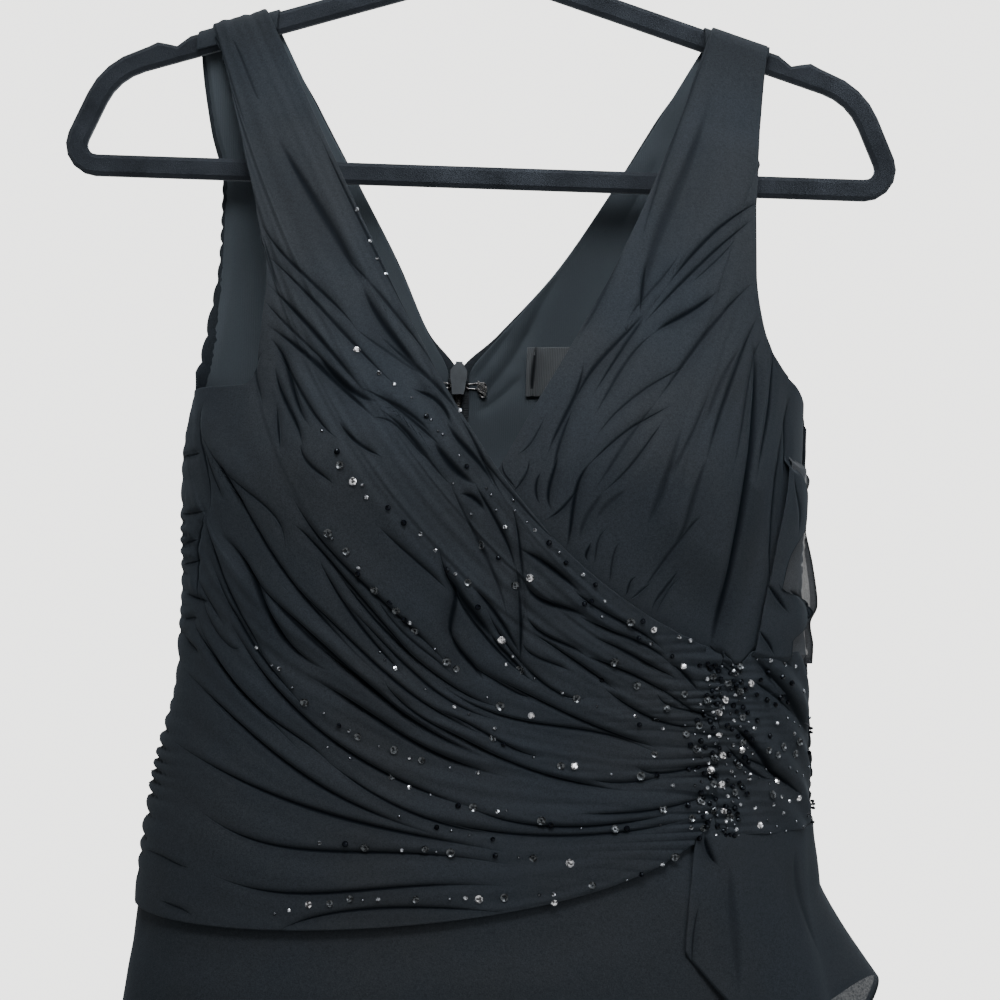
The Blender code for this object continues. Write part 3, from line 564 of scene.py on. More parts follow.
def layCloth(name, points, out, dark, material, slot, sides=allSides, radius=0.6, back=7.0,
             inside=False, lines=None):
    # a grid of cloth with its edges turned under; a lining is seen from inside, so its edges turn the
    # other way. Returns it with its points and their normals.
    normals = gridNormals(points)
    sign = 1 if (normals * out).sum(-1).mean() > 0 else -1
    lines = np.zeros(points.shape[:2] + (6,)) if lines is None else lines
    marks = np.concatenate((np.broadcast_to(dark, points.shape[:2])[..., None], lines), axis=-1)
    hemmed, marks = turnEdges(points, marks, sides, -sign if inside else sign, radius, back)
    faces = gridFaces(*hemmed.shape[:2], outwards=sign > 0)
    made = addMesh(name, hemmed.reshape(-1, 3), faces, material, marks, slot=slot)
    return made, points, sign * normals


def panel(name, turn, fall, height, *rest, **more):
    # a cloth panel raised from the body's surface by its height
    out = outward(turn, fall)
    points = place(turn, fall) + out * np.broadcast_to(height, fall.shape)[..., None]
    return layCloth(name, points, out, *rest, **more)


def ripple(pleat, along, strength):
    # low unevenness of the cloth between the folds: three slow waves across the lines of flow
    return strength * (0.50 * np.sin(3.7 * pleat + 3.0 * along)
                       + 0.32 * np.sin(6.9 * pleat - 5.0 * along + 1.0)
                       + 0.25 * np.sin(1.6 * pleat + 9.0 * along + 2.0))


puffs = {"high": 2.3, "pitch": 8.8, "top": 345, "sharp": 0.65, "reach": 6.0, "notchReach": 4.5}


def ruche(fall, fromSeam, high=puffs["high"]):
    # puffs between the stitches of a gathered seam: a rounded wave down the seam, of uneven length
    # and height, that dies inwards. Both panels of a seam share it, so they meet without a step.
    beat = fall / puffs["pitch"] + 0.55 * np.sin(fall / 17.0) + 0.22 * np.sin(fall / 6.7 + 1.0)
    puff = np.abs(np.cos(np.pi * beat)) ** puffs["sharp"]
    uneven = 0.80 + 0.35 * np.sin(fall / 21.0 + 0.5) + 0.30 * np.sin(fall / 9.1)
    tall = high * uneven * rise((fall - puffs["top"]) / 30)
    tall = tall * (1 + 0.7 * rise((fall - 430) / 90) + 0.8 * np.exp(-((fall - 552) / 15) ** 2))
    tall = tall * (1 - 0.4 * rise((fall - 570) / 15))
    away = np.maximum(fromSeam, 0)
    # the second value is painted shade in the notches between the puffs
    return (tall * (puff - 0.4) * np.exp(-away / puffs["reach"]),
            (1 - puff) ** 2.5 * np.exp(-away / puffs["notchReach"]))


# wrap front
wrap = {"columns": 370, "rows": 230, "pleat": 0.55, "unevenness": 0.55, "hem": 0.6,
        "sidePleat": 13.0, "sideEase": 14, "strapTo": 5.0}
strap = {"run": 21, "share": 0.07, "lift": 1.5, "liftShare": 0.085, "liftEase": 0.03}
seamGather = {"height": 0.8, "reach": 24, "pitch": 5.6}
wrapFolds = (
    # strap and shoulder
    (-106, 204, -89, 231, -72, 257, -57, 283, 1.3, 2.4),
    (-57, 283, -48, 299, -37, 313, -26, 326, 1.5, 1.9),
    (-84, 203, -65, 240, -46, 275, -27, 309, 1.2, 1.1),
    (-68, 266, -53, 282, -38, 299, -25, 315, 1.1, 1.2),
    (-111, 252, -95, 271, -76, 288, -59, 306, 1.3, 1.3),
    (-59, 306, -46, 315, -33, 323, -21, 331, 0.9, 1.2),
    (-107, 268, -83, 290, -60, 313, -37, 335, 1.3, 1.3),
    (-105, 284, -87, 301, -70, 319, -54, 337, 1.5, 1.5),
    (-54, 337, -41, 342, -29, 349, -19, 358, 1.2, 1.2),
    (-106, 293, -95, 304, -84, 314, -73, 324, 1.1, 1.1),
    (-110, 259, -107, 268, -104, 277, -100, 286, 0.9, 1.0),
    (-129, 162, -125, 169, -120, 180, -117, 185, 0.8, 1.2),
    # over the breast
    (-78, 319, -69, 329, -58, 338, -46, 343, 2.0, 1.8),
    (-104, 305, -83, 320, -64, 336, -46, 352, 1.9, 1.7),
    (-48, 351, -36, 354, -27, 363, -19, 371, 1.3, 1.2),
    (-102, 312, -93, 326, -87, 342, -79, 356, 2.1, 1.6),
    (-99, 327, -94, 341, -87, 353, -82, 366, 1.9, 1.5),
    (-83, 365, -80, 373, -73, 379, -66, 384, 1.3, 1.2),
    (-98, 320, -87, 335, -77, 350, -65, 362, 1.4, 1.2),
    (-64, 354, -58, 361, -51, 366, -43, 370, 1.5, 1.2),
    (-97, 346, -96, 354, -95, 361, -94, 368, 1.4, 1.2),
    (-107, 319, -110, 327, -108, 336, -105, 345, 1.0, 1.2),
    (-139, 365, -134, 375, -129, 385, -124, 394, 1.5, 1.1),
    (-129, 374, -123, 382, -118, 390, -112, 397, 1.2, 1.0),
    # down the neck edge to the middle
    (-47, 309, -32, 321, -17, 334, -5, 349, 1.2, 1.4),
    (-5, 349, 3, 362, 10, 375, 18, 388, 1.2, 1.1),
    (-33, 305, -22, 319, -12, 333, -2, 347, 1.0, 1.0),
    (-2, 347, 6, 357, 13, 367, 18, 378, 1.0, 1.0),
    (-29, 336, -20, 339, -13, 345, -9, 354, 1.9, 1.4),
    (-11, 352, -3, 363, 6, 372, 13, 383, 1.9, 1.6),
    (-45, 340, -34, 347, -24, 355, -14, 364, 1.4, 1.3),
    (-17, 362, -11, 370, -4, 377, 4, 382, 2.2, 2.0), (4, 382, 12, 395, 20, 409, 25, 424, 1.5, 1.3),
    (23, 394, 27, 412, 29, 429, 32, 447, 1.4, 1.2), (-3, 387, 2, 388, 6, 391, 9, 395, 1.9, 1.6),
    (-9, 428, -4, 439, -6, 451, -3, 463, 2.2, 1.8), (-6, 455, -2, 464, 5, 472, 11, 480, 2.0, 1.6),
    (-8, 427, -1, 438, 7, 448, 15, 459, 2.2, 2.2), (14, 456, 20, 464, 27, 471, 33, 479, 1.8, 1.4),
    (5, 433, 14, 443, 22, 454, 29, 466, 1.7, 1.4), (25, 421, 28, 437, 29, 454, 29, 471, 1.7, 1.4),
    (27, 413, 38, 419, 48, 426, 58, 434, 2.2, 1.7), (54, 432, 69, 443, 85, 451, 101, 462, 1.6, 1.2),
    (30, 429, 38, 438, 50, 442, 62, 447, 2.2, 1.8), (58, 446, 74, 453, 90, 459, 105, 469, 1.7, 1.3),
    (32, 447, 40, 455, 51, 460, 62, 466, 1.8, 1.4), (30, 460, 36, 466, 45, 470, 53, 473, 1.4, 1.1),
    (67, 457, 79, 462, 91, 468, 103, 474, 1.6, 1.3),
    (-42, 405, -31, 415, -19, 425, -8, 435, 1.1, 1.1),
    (-45, 347, -31, 357, -20, 370, -8, 383, 1.1, 1.2),
    (-8, 383, 3, 404, 14, 425, 22, 447, 1.0, 1.3),
    # from the armhole and side seam across the front
    (-144, 355, -109, 403, -85, 436, -41, 479, 2.0, 1.3),
    (-128, 374, -111, 389, -96, 401, -90, 418, 1.2, 1.0),
    (-85, 394, -64, 420, -35, 446, -6, 473, 2.0, 1.3),
    (-84, 406, -67, 423, -41, 451, -22, 473, 2.2, 1.3),
    (-72, 423, -60, 443, -44, 463, -28, 479, 1.7, 1.2),
    (-123, 413, -104, 438, -91, 461, -69, 477, 3.0, 1.9),
    (-135, 400, -125, 428, -112, 452, -97, 477, 1.6, 1.3),
    (-111, 429, -94, 445, -73, 465, -54, 479, 1.3, 1.1),
    (-130, 425, -114, 455, -98, 476, -79, 496, 1.5, 1.2),
    (-136, 441, -130, 456, -119, 468, -112, 466, 0.9, 1.0),
    (-117, 458, -83, 499, -39, 528, 11, 545, 2.4, 1.4),
    (4, 543, 38, 552, 76, 551, 109, 545, 2.0, 1.2),
    (-100, 440, -63, 471, -26, 500, 17, 520, 3.0, 1.9),
    (-69, 469, -51, 482, -34, 495, -15, 509, 1.7, 1.1),
    (-73, 483, -43, 501, -14, 517, 21, 528, 2.9, 1.7),
    (-38, 482, -23, 497, -1, 509, 21, 519, 1.8, 1.1),
    (-87, 435, -56, 462, -23, 489, 20, 510, 1.9, 1.2),
    (-59, 443, -34, 468, -10, 488, 20, 500, 1.6, 1.1),
    (-68, 422, -38, 457, -7, 482, 20, 493, 1.8, 1.1),
    (-45, 437, -31, 455, -17, 467, -5, 477, 1.1, 1.0),
    (14, 477, 45, 492, 74, 504, 100, 512, 2.0, 1.2),
    (-145, 484, -102, 516, -63, 540, -11, 558, 2.3, 1.4),
    (-136, 457, -114, 490, -88, 509, -65, 525, 1.6, 1.2),
    (-65, 525, -39, 541, -10, 552, 22, 557, 1.6, 1.1),
    (-148, 522, -89, 544, -38, 556, 22, 565, 2.3, 1.4),
    (-128, 556, -85, 568, -36, 568, 22, 571, 1.9, 1.3),
    (-118, 586, -76, 590, -32, 585, 23, 582, 1.8, 1.3),
    (-87, 609, -57, 598, -18, 594, 23, 595, 1.6, 1.2),
    (-162, 580, -153, 580, -144, 582, -136, 583, 1.2, 1.0),
    (-151, 602, -145, 603, -139, 604, -133, 606, 1.2, 1.0),
    # the side seam, which shows at the edge, and the short folds stitched into it
    (-140, 345, -141, 362, -135, 380, -133, 402, 1.6, 1.2),
    (-134, 400, -138, 414, -139, 428, -137, 450, 1.6, 1.1),
    (-152, 372, -148, 372, -144, 371, -140, 370, 1.3, 0.9),
    (-149, 402, -144, 402, -139, 401, -134, 400, 1.6, 1.0),
    (-148, 418, -145, 417, -142, 416, -138, 415, 1.4, 0.9),
    (-147, 429, -144, 428, -141, 427, -138, 425, 1.4, 0.9),
    (-145, 444, -141, 445, -136, 446, -131, 447, 1.5, 1.0),
    (-146, 458, -144, 457, -141, 456, -138, 456, 1.2, 0.9),
    (-146, 466, -143, 469, -140, 471, -136, 475, 1.4, 1.1),
    (-141, 457, -127, 476, -110, 493, -82, 518, 1.6, 1.0),
    (-138, 436, -133, 443, -128, 450, -122, 457, 1.2, 0.9),
    # gathered towards the beaded seam
    (105, 469, 111, 473, 116, 478, 120, 483, 1.6, 1.2),
    (62, 466, 76, 471, 90, 477, 104, 484, 1.7, 1.2), (35, 455, 51, 465, 66, 475, 78, 483, 1.7, 1.1),
    (2, 364, 18, 382, 33, 398, 48, 411, 0.9, 1.0), (12, 444, 26, 466, 45, 483, 63, 487, 1.8, 1.1),
    (-13, 413, -2, 440, 18, 465, 39, 481, 1.6, 1.1), (4, 472, 17, 480, 28, 486, 36, 488, 1.4, 1.0),
    (-11, 482, 26, 499, 62, 504, 100, 515, 2.0, 1.2),
    (-10, 496, 8, 504, 25, 513, 41, 518, 1.5, 1.1), (-10, 503, 20, 519, 52, 529, 85, 534, 2.0, 1.2),
    (73, 483, 88, 493, 106, 500, 125, 500, 1.8, 1.1),
    (93, 479, 107, 486, 118, 493, 130, 496, 1.4, 0.9),
    (99, 484, 107, 491, 121, 494, 130, 498, 1.3, 0.9),
    (90, 522, 102, 525, 116, 523, 130, 522, 1.7, 1.1),
    (62, 546, 85, 545, 106, 542, 132, 535, 1.7, 1.1),
    (-8, 551, 34, 557, 79, 555, 116, 548, 1.9, 1.1),
    (68, 529, 80, 530, 92, 529, 102, 527, 1.4, 1.0),
    (88, 467, 94, 470, 101, 473, 107, 476, 1.3, 0.9))
chiffon = chiffonFinish("chiffon", cloth["tone"], cloth["warm"])


def overArm(pleat, along, x, fall, leave, last):
    # the strap runs straight on over the arm above its seam, clear of the back strap that it hides;
    # returns the new places and how far the cloth is lifted there
    held = 1 - rise((pleat - last) / 0.35)
    run = strap["run"] * held * np.clip(1 - along / strap["share"], 0, 1)
    lift = strap["lift"] * held * rise((strap["liftShare"] - along) / strap["liftEase"])
    return x - run / np.tan(np.radians(leave)), fall - run, lift


def gatherSeam(x, fall):
    # fine ripples that run into the beaded seam and die away from it
    near = np.exp(-np.maximum(body["bandLeft"] - x, 0) / seamGather["reach"])
    beat = fall / seamGather["pitch"] + 0.5 * np.sin(fall / 13.0) + 0.35 * np.sin(fall / 5.1 + x / 25)
    wave = np.cos(2 * np.pi * beat)
    # the second value is painted shade in the troughs of the ripples
    return seamGather["height"] * near * wave, 0.95 * near ** 0.8 * rise((-wave - 0.62) / 0.38)


def makeWrap():
    # rows follow the Bezier lines from strap or side to the beaded seam, and columns are evenly spaced
    # across them; the height adds low pleats, creases, the seam's ripples and slow waves, and at the
    # side the cloth comes down to its seam and puffs between the stitches
    pleat, along = np.meshgrid(evenPleats(wrapLines, wrap["columns"]), closeAtFirst(wrap["rows"]))
    x, fall, value = pleatLines(wrapLines, pleat, along)
    short = (x[:1] - level(fall[:1], "left")) * rise((pleat[:1] - wrap["sidePleat"]) / 0.5)
    x = x - short * np.exp(-np.maximum(x - x[:1], 0) / wrap["sideEase"])
    swell = (0.5 + 0.5 * rise(along / 0.3)) * (1 - 0.7 * rise((along - 0.4) / 0.6))
    begun = rise((along - value["begin"]) / 0.25 + (value["begin"] < 0.05))
    height = wrap["pleat"] * value["fold"] * swell * begun
    high, lines = layFolds(wrapFolds, x, fall)
    x, fall, lift = overArm(pleat, along, x, fall, value["leave"], wrap["strapTo"])
    turn = turnAt(x, fall)
    side = rise((pleat - wrap["sidePleat"]) / 0.6)
    puff, notch = ruche(fall, x - level(fall, "left") + (1 - side) * 60)
    gather, sunk = gatherSeam(x, fall)
    nearSeam = side * np.exp(-np.maximum(x - level(fall, "left"), 0) / 5)
    waves = ripple(pleat, along, wrap["unevenness"]) * (1 - rise((along - 0.7) / 0.3))
    height = height + high + gather + waves
    height = height * (1 - nearSeam) + body["swell"] * nearSeam + puff * side + lift
    # painted shade in the notches between the side puffs and in the troughs of the seam's ripples
    dark = np.maximum(0.7 * notch * side, sunk)
    made, points, normals = panel("wrap_front", turn, fall, height, dark, chiffon, "chiffon",
                                  radius=wrap["hem"], lines=lines)
    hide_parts("front_wrap")
    return x, fall, points, normals


wrapGrid = makeWrap()
print("wrap front")


# under front
under = {"columns": 240, "rows": 180, "pleat": 0.5, "unevenness": 0.5, "strapTo": 4.5}
underFolds = (
    # from the shoulder and the armhole down to the middle
    (120, 175, 107, 215, 93, 252, 85, 290, 0.9, 2.8),
    (88, 264, 86, 274, 85, 283, 84, 293, 1.4, 1.4),
    (117, 153, 105, 186, 94, 220, 85, 253, 0.9, 1.2),
    (147, 229, 127, 243, 111, 260, 97, 279, 1.4, 1.3),
    (97, 279, 84, 298, 72, 317, 61, 336, 1.2, 1.2),
    (143, 239, 122, 258, 103, 278, 86, 298, 1.3, 1.2),
    (124, 279, 113, 288, 102, 295, 91, 303, 1.8, 1.5),
    (91, 303, 79, 316, 70, 331, 62, 346, 1.0, 1.2),
    (142, 274, 123, 295, 107, 317, 92, 339, 1.1, 1.4),
    (92, 339, 81, 354, 72, 368, 63, 383, 0.9, 1.3),
    (145, 292, 134, 317, 125, 342, 118, 366, 1.2, 1.5),
    (118, 366, 113, 381, 109, 396, 104, 411, 0.9, 1.8),
    (147, 303, 140, 325, 136, 348, 131, 371, 1.0, 1.2),
    (110, 318, 91, 329, 75, 342, 62, 358, 1.0, 1.0),
    (154, 305, 153, 328, 149, 352, 145, 375, 1.5, 1.5),
    (166, 332, 163, 346, 163, 360, 162, 374, 1.3, 1.3),
    (135, 309, 128, 321, 122, 335, 118, 348, 0.8, 1.6),
    (86, 293, 72, 309, 59, 325, 51, 343, 1.3, 1.4), (51, 343, 47, 353, 44, 363, 42, 374, 1.2, 1.2),
    (104, 260, 95, 274, 85, 286, 77, 299, 0.9, 1.1),
    (134, 250, 126, 260, 118, 268, 110, 276, 0.9, 0.9),
    (76, 258, 68, 276, 61, 292, 52, 308, 0.9, 1.5),
    (143, 306, 142, 355, 133, 421, 127, 460, 3.0, 2.4),
    (166, 331, 158, 362, 155, 400, 155, 430, 1.4, 1.3),
    # gathers that rise from the edge of the wrap
    (56, 319, 52, 336, 45, 351, 39, 366, 1.3, 1.3), (44, 365, 42, 375, 40, 385, 42, 394, 1.9, 1.4),
    (36, 375, 34, 380, 34, 386, 36, 391, 1.4, 1.1), (17, 370, 18, 376, 21, 380, 24, 384, 1.2, 0.9),
    (30, 368, 29, 375, 26, 381, 22, 386, 1.2, 0.9), (100, 340, 84, 349, 71, 359, 58, 372, 1.2, 1.0),
    (61, 369, 54, 382, 52, 398, 50, 413, 1.9, 1.5), (56, 382, 51, 388, 46, 394, 39, 399, 1.4, 1.1),
    (96, 348, 87, 361, 78, 373, 67, 384, 1.1, 1.0), (67, 384, 62, 392, 58, 400, 57, 409, 0.9, 1.6),
    (62, 410, 61, 413, 60, 416, 61, 419, 1.7, 1.1), (86, 426, 83, 429, 82, 433, 81, 436, 1.3, 0.9),
    (107, 422, 103, 429, 98, 436, 95, 443, 1.2, 1.1),
    (77, 409, 74, 415, 73, 423, 72, 430, 1.0, 0.9), (70, 402, 66, 408, 65, 414, 64, 421, 1.0, 0.9),
    (79, 382, 73, 387, 68, 392, 64, 399, 0.8, 1.6),
    (105, 352, 100, 369, 95, 386, 89, 402, 0.8, 2.0),
    (94, 429, 90, 432, 87, 435, 83, 438, 1.1, 0.9),
    (116, 394, 108, 404, 98, 420, 90, 432, 1.0, 1.2),
    (24, 366, 29, 362, 33, 356, 38, 346, 1.0, 0.9),
    (120, 330, 112, 350, 104, 366, 94, 382, 0.8, 1.5),
    (97, 445, 100, 438, 104, 431, 109, 425, 0.9, 0.8),
    (126, 460, 129, 463, 132, 466, 135, 468, 1.3, 1.0))


def bandTopAt(x):
    # the band's top seam dips where the end of the strap's last pleat comes over it
    return body["bandTop"] + 9 * np.exp(-((x - 139.5) / 6.5) ** 2) + 3 * rise((x - 146) / 10)


def makeUnder():
    # laid like the wrap on its own lines; where the wrap and the band cover it, it sinks by the tuck
    pleat, along = np.meshgrid(evenPleats(underLines, under["columns"]), closeAtFirst(under["rows"]))
    x, fall, value = pleatLines(underLines, pleat, along)
    begun = rise((along - value["begin"]) / 0.2 + (value["begin"] < 0.05))
    height = under["pleat"] * value["fold"] * begun
    high, lines = layFolds(underFolds, x, fall)
    x, fall, lift = overArm(pleat, along, x, fall, value["leave"], under["strapTo"])
    turn = turnAt(x, fall)
    turn[pleat == pleat.max()] = np.pi / 2
    height = height + ripple(pleat, along, under["unevenness"]) * rise(along / 0.2) + lift
    atSide = rise((x - 126) / 12)
    sunk = rise((along - 0.62) / 0.24) * (1 - atSide) + rise((fall - bandTopAt(x) + 3) / 6) * atSide
    sunk = sunk * (1 - 0.8 * rise((pleat - 11.5) / 1.2))
    height = height * (1 - sunk) - body["tuck"] * sunk + high * (1 - sunk)
    made, *_ = panel("under_front", turn, fall, height, 0, chiffon, "chiffon", ("first", "last", "top"),
                     lines=lines)
    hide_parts("front_under")


makeUnder()
print("under front")


# side band
band = {"columns": 90, "rows": 130, "puffs": 4, "slant": 0.75, "puff": 1.8, "gather": 0.6,
        "gatherPitch": 4.6, "level": 465}
bandFolds = (
    (151, 451, 157, 457, 164, 465, 170, 471, 1.2, 1.2),
    (149, 465, 163, 480, 175, 494, 185, 511, 3.0, 1.9),
    (149, 478, 156, 482, 166, 489, 176, 498, 1.7, 1.2),
    (139, 501, 150, 511, 160, 523, 173, 533, 2.8, 1.6),
    (136, 511, 144, 519, 153, 526, 162, 529, 1.6, 1.2),
    (142, 517, 157, 522, 170, 531, 180, 540, 1.7, 1.2),
    (126, 460, 129, 465, 133, 470, 138, 473, 1.6, 1.1),
    (132, 467, 135, 469, 138, 471, 142, 473, 1.2, 1.0))


def makeBand():
    # columns share out the angle round the body from the beaded seam to the side, rows the drop from
    # the band's top to its bottom; it is raised in slanting puffs, a sine of the way down less a part
    # of the way across, with creases and with ripples that die away from the beaded seam
    across, down = shares(band)
    flat = band["level"] + 0 * down
    start = turnAt(np.full(down.shape, body["bandLeft"]), flat)
    turn = start + (np.pi / 2 - start) * across
    top = bandTopAt(place(turn, flat)[..., 0])
    fall = top + (body["bandBottom"] - top) * down
    start = turnAt(np.full(fall.shape, body["bandLeft"]), fall)
    turn = start + (np.pi / 2 - start) * across
    x = place(turn, fall)[..., 0]
    phase = band["puffs"] * (down - band["slant"] * across)
    soft = 0.5 + 0.5 * np.sin(2 * np.pi * phase)
    height = 0.4 + band["puff"] * soft * rise(across / 0.35) * rise((1.15 - across) / 0.5)
    high, lines = layFolds(bandFolds, x, fall)
    beat = fall / band["gatherPitch"] + 0.5 * np.sin(fall / 13.0)
    gather = np.exp(-across / 0.22) * np.cos(2 * np.pi * beat)
    height = height + high + band["gather"] * gather
    # painted shade in the troughs of the gathers by the beaded seam
    dark = 0.5 * np.exp(-across / 0.2) * rise((-gather - 0.4) / 0.4)
    made, points, normals = panel("beaded_band", turn, fall, height, dark, chiffon, "chiffon",
                                  radius=0.5, back=5.0, lines=lines)
    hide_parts("side_band")
    return x, fall, points, normals


bandGrid = makeBand()
print("side band")


# backs
backs = {"columns": 120, "rows": 230, "reach": 0.55, "width": 150, "folds": 22, "foldsFrom": 350,
         "armholePitch": 11.0, "armholePuff": 1.6, "waves": 0.35, "groove": 0.5, "stitches": 5.5}
backSides = {       # the side seam's x, its lowest fold, its puffs and the painted shade in their notches
    "left": {"way": 1, "seam": 184, "foldsTo": 560, "lean": 0.4, "puff": 0.7, "notch": 0.3},
    "right": {"way": -1, "seam": -157, "foldsTo": 605, "lean": 1.9, "puff": puffs["high"], "notch": 1}}


def sideGathers(seam, inside, first, last, count, lean):
    # rows of folds that leave the side seam and sag towards the middle, long and short in turn
    rows = []
    for i in range(count):
        drop = first + (last - first) * (i + 0.5 + 0.28 * math.sin(2.3 * i + lean)) / count
        share = 0.40 + 0.30 * math.sin(1.7 * i + lean) ** 2 + 0.24 * (i % 3 == 0)
        long = share * abs(inside - seam)
        way = 1 if inside > seam else -1
        sag = 0.16 * long * (0.4 + 0.6 * math.cos(3.1 * (drop - first) / (last - first)))
        rows.append((seam, drop, seam + way * long / 3, drop + 0.55 * sag,
                     seam + way * long * 2 / 3, drop + 0.9 * sag, seam + way * long, drop + sag,
                     1.1 + 0.9 * math.sin(2.9 * i + lean) ** 2, 1.2))
    return rows


def rungGrid(rungs, rung, columnCount):
    # shares along the rungs, the rungs themselves, and what the table says at each
    share, rung = np.meshgrid(np.linspace(0, 1, columnCount), rung)
    return share, rung, readAt(rungs, rung)


def evenRungs(rungs, count):
    # rungs at equal distances down the outer edge, over the shoulder too
    rung = np.linspace(0, 8, 600)
    value = readAt(rungs, rung)
    steps = np.hypot(np.diff(value["outDrop"]), np.diff(value["outX"]))
    length = np.concatenate(((0,), np.cumsum(steps)))
    return np.interp(np.linspace(0, length[-1], count), length, rung)


def makeBack(name, node, rungs, side):
    # straight rungs from the outer edge to the middle, a table of them from the shoulder to the skirt;
    # below the arm it stands out and puffs at the side seam, with folds that leave the seam, and along
    # the middle a narrow bell-shaped groove lies over the zip between two rows of stitches
    way = side["way"]
    share, rung, value = rungGrid(rungs, evenRungs(rungs, backs["rows"]), backs["columns"])
    inX = np.where(rung >= 6, body["backCentre"] + way * body["seam"] / 2, value["inX"])
    armhole = rise((rung - 2.2) / 1.2) * rise((7.0 - rung) / 0.4) * (1 - share) ** 4
    beat = value["outDrop"] / backs["armholePitch"] + 0.6 * np.sin(value["outDrop"] / 19.0)
    puffed = (np.abs(np.cos(np.pi * beat)) ** 0.6 - 0.5) * armhole
    outX = value["outX"] + way * backs["armholePuff"] * puffed
    x = outX + (inX - outX) * share
    fall = value["outDrop"] + (value["inDrop"] - value["outDrop"]) * share
    turn = turnAt(x, fall, True)
    seam = np.pi / 2 + body["hair"] if way > 0 else 3 * np.pi / 2 - body["hair"]
    turn[(share == 0) & (rung >= 7)] = seam
    down = rise((rung - 7) / 0.1)
    height = body["swell"] * rise(1 - share / backs["reach"]) * down
    folds = sideGathers(side["seam"], body["backCentre"], backs["foldsFrom"], side["foldsTo"],
                        backs["folds"], side["lean"])
    high, lines = layFolds(folds, x, fall)
    puff, notch = ruche(fall, share * backs["width"] + (1 - down) * 60, side["puff"])
    notch = notch * side["notch"]
    away = rise(share * backs["width"] / 8)
    waves = ripple(rung * 9, share, backs["waves"]) * rise((rung - 1) / 0.5) * away
    height = height + high * down * away + puff * down + waves
    lines[..., 3:] *= down[..., None]
    opened = rise((rung - 6.05) / 0.1)
    centre = np.exp(-((x - body["backCentre"]) / 1.3) ** 2) * opened
    stitched = np.exp(-((np.abs(x - body["backCentre"]) - backs["stitches"]) / 0.5) ** 2)
    stitched = stitched * (np.sin(fall * 2.1) > -0.3) * opened * 0.45
    height = height - backs["groove"] * centre
    # painted shade in the notches and along the groove over the zip; the two rows of stitches are
    # darker too
    dark = np.maximum(np.maximum(0.7 * notch * down, 0.75 * centre), stitched)
    made, *_ = panel(name, turn, fall, height, dark, chiffon, "chiffon", lines=lines)
    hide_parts(node)


makeBack("back_panel_right", "back_right", backRightRungs, backSides["right"])
makeBack("back_panel_left", "back_left", backLeftRungs, backSides["left"])
print("backs")


# skirts
skirt = {"columns": 260, "rows": 110, "flutesFront": 7, "flutesBack": 6, "flute": 13.0,
         "flutesFrom": 640, "flutesOver": 460, "cover": 24.0, "waves": 0.5, "middle": 14, "half": 180,
         "backTop": 564, "backTopSides": 613, "hem": 12.0, "hemRadius": 0.5}


def flutes(share, fall, count, lean):
    # soft folds that open towards the hem, uneven across the skirt
    wander = 0.10 * np.sin(2 * np.pi * share + lean) * np.sin(np.pi * share)
    wave = np.cos(2 * np.pi * count * (share + wander))
    uneven = 1 + 0.35 * np.sin(2 * np.pi * share * 2 + lean) * np.sin(np.pi * share)
    return skirt["flute"] * rise((fall - skirt["flutesFrom"]) / skirt["flutesOver"]) * wave * uneven


def makeSkirtFront():
    # half of the body's oval from the tabled top line to the hem, raised by its flutes and a slow wave,
    # and sunk by the tuck under the wrap, the band and the flounce
    across, down = shares(skirt, 1.15)
    turn = np.pi * (across - 0.5)
    topX = skirt["middle"] + skirt["half"] * np.sin(turn)
    top = readAt(skirtTop, topX)["drop"]
    fall = top + (body["hem"] - top) * down
    clear = skirt["cover"] * (1 - 0.5 * rise((topX - 100) / 16)) + 42 * rise((topX - 131) / 9)
    sunk = (1 - rise((fall - top - clear) / 24)) * (0.12 + 0.88 * rise(np.cos(turn) / 0.30))
    height = flutes(across, fall, skirt["flutesFront"], 0.6) - body["tuck"] * sunk
    height = height + skirt["waves"] * np.sin(across * 40 + fall / 60) * (1 - sunk)
    made, *_ = panel("front_skirt", turn, fall, height, 0, chiffon, "chiffon",
                     ("first", "last", "bottom"), skirt["hemRadius"], skirt["hem"])
    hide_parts("skirt_front")


def makeSkirtBack():
    # the other half of the oval, whose top line falls from the middle to the sides
    across, down = shares(skirt, 1.15)
    turn = np.pi / 2 + body["hair"] + (np.pi - 2 * body["hair"]) * across
    lower = (skirt["backTopSides"] - skirt["backTop"]) * (1 - np.sin(turn)) / 2
    top = skirt["backTop"] + lower + body["seam"] + 0.3
    fall = top + (body["hem"] - top) * down
    waves = skirt["waves"] * np.sin(across * 44 + fall / 55) * rise(down / 0.1)
    height = flutes(across, fall, skirt["flutesBack"], 2.1) + waves
    made, *_ = panel("back_skirt", turn, fall, height, 0, chiffon, "chiffon",
                     allSides, skirt["hemRadius"], skirt["hem"])
    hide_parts("skirt_back")


makeSkirtFront()
makeSkirtBack()
print("skirts")


# flounces
def sheerAlpha(low, high):
    # see-through in fine specks between the two shares
    def alpha(made, where):
        return made.ramp(made.noise(where, 900.0, 1.0), (0.3, low), (0.7, high))
    return alpha


sheer = chiffonFinish("sheer_chiffon", shade(cloth["tone"], 1.05), shade(cloth["warm"], 1.05),
                      sheerAlpha(0.96, 0.99))
flounce = {"columns": 150, "rows": 90, "topEnd": 104, "waves": 2.6, "wave": 4.0, "flare": 1.15,
           "clear": 1.9, "sunk": 1.6, "leftSunk": 1.3, "hemRadius": 0.35, "hem": 3.0}
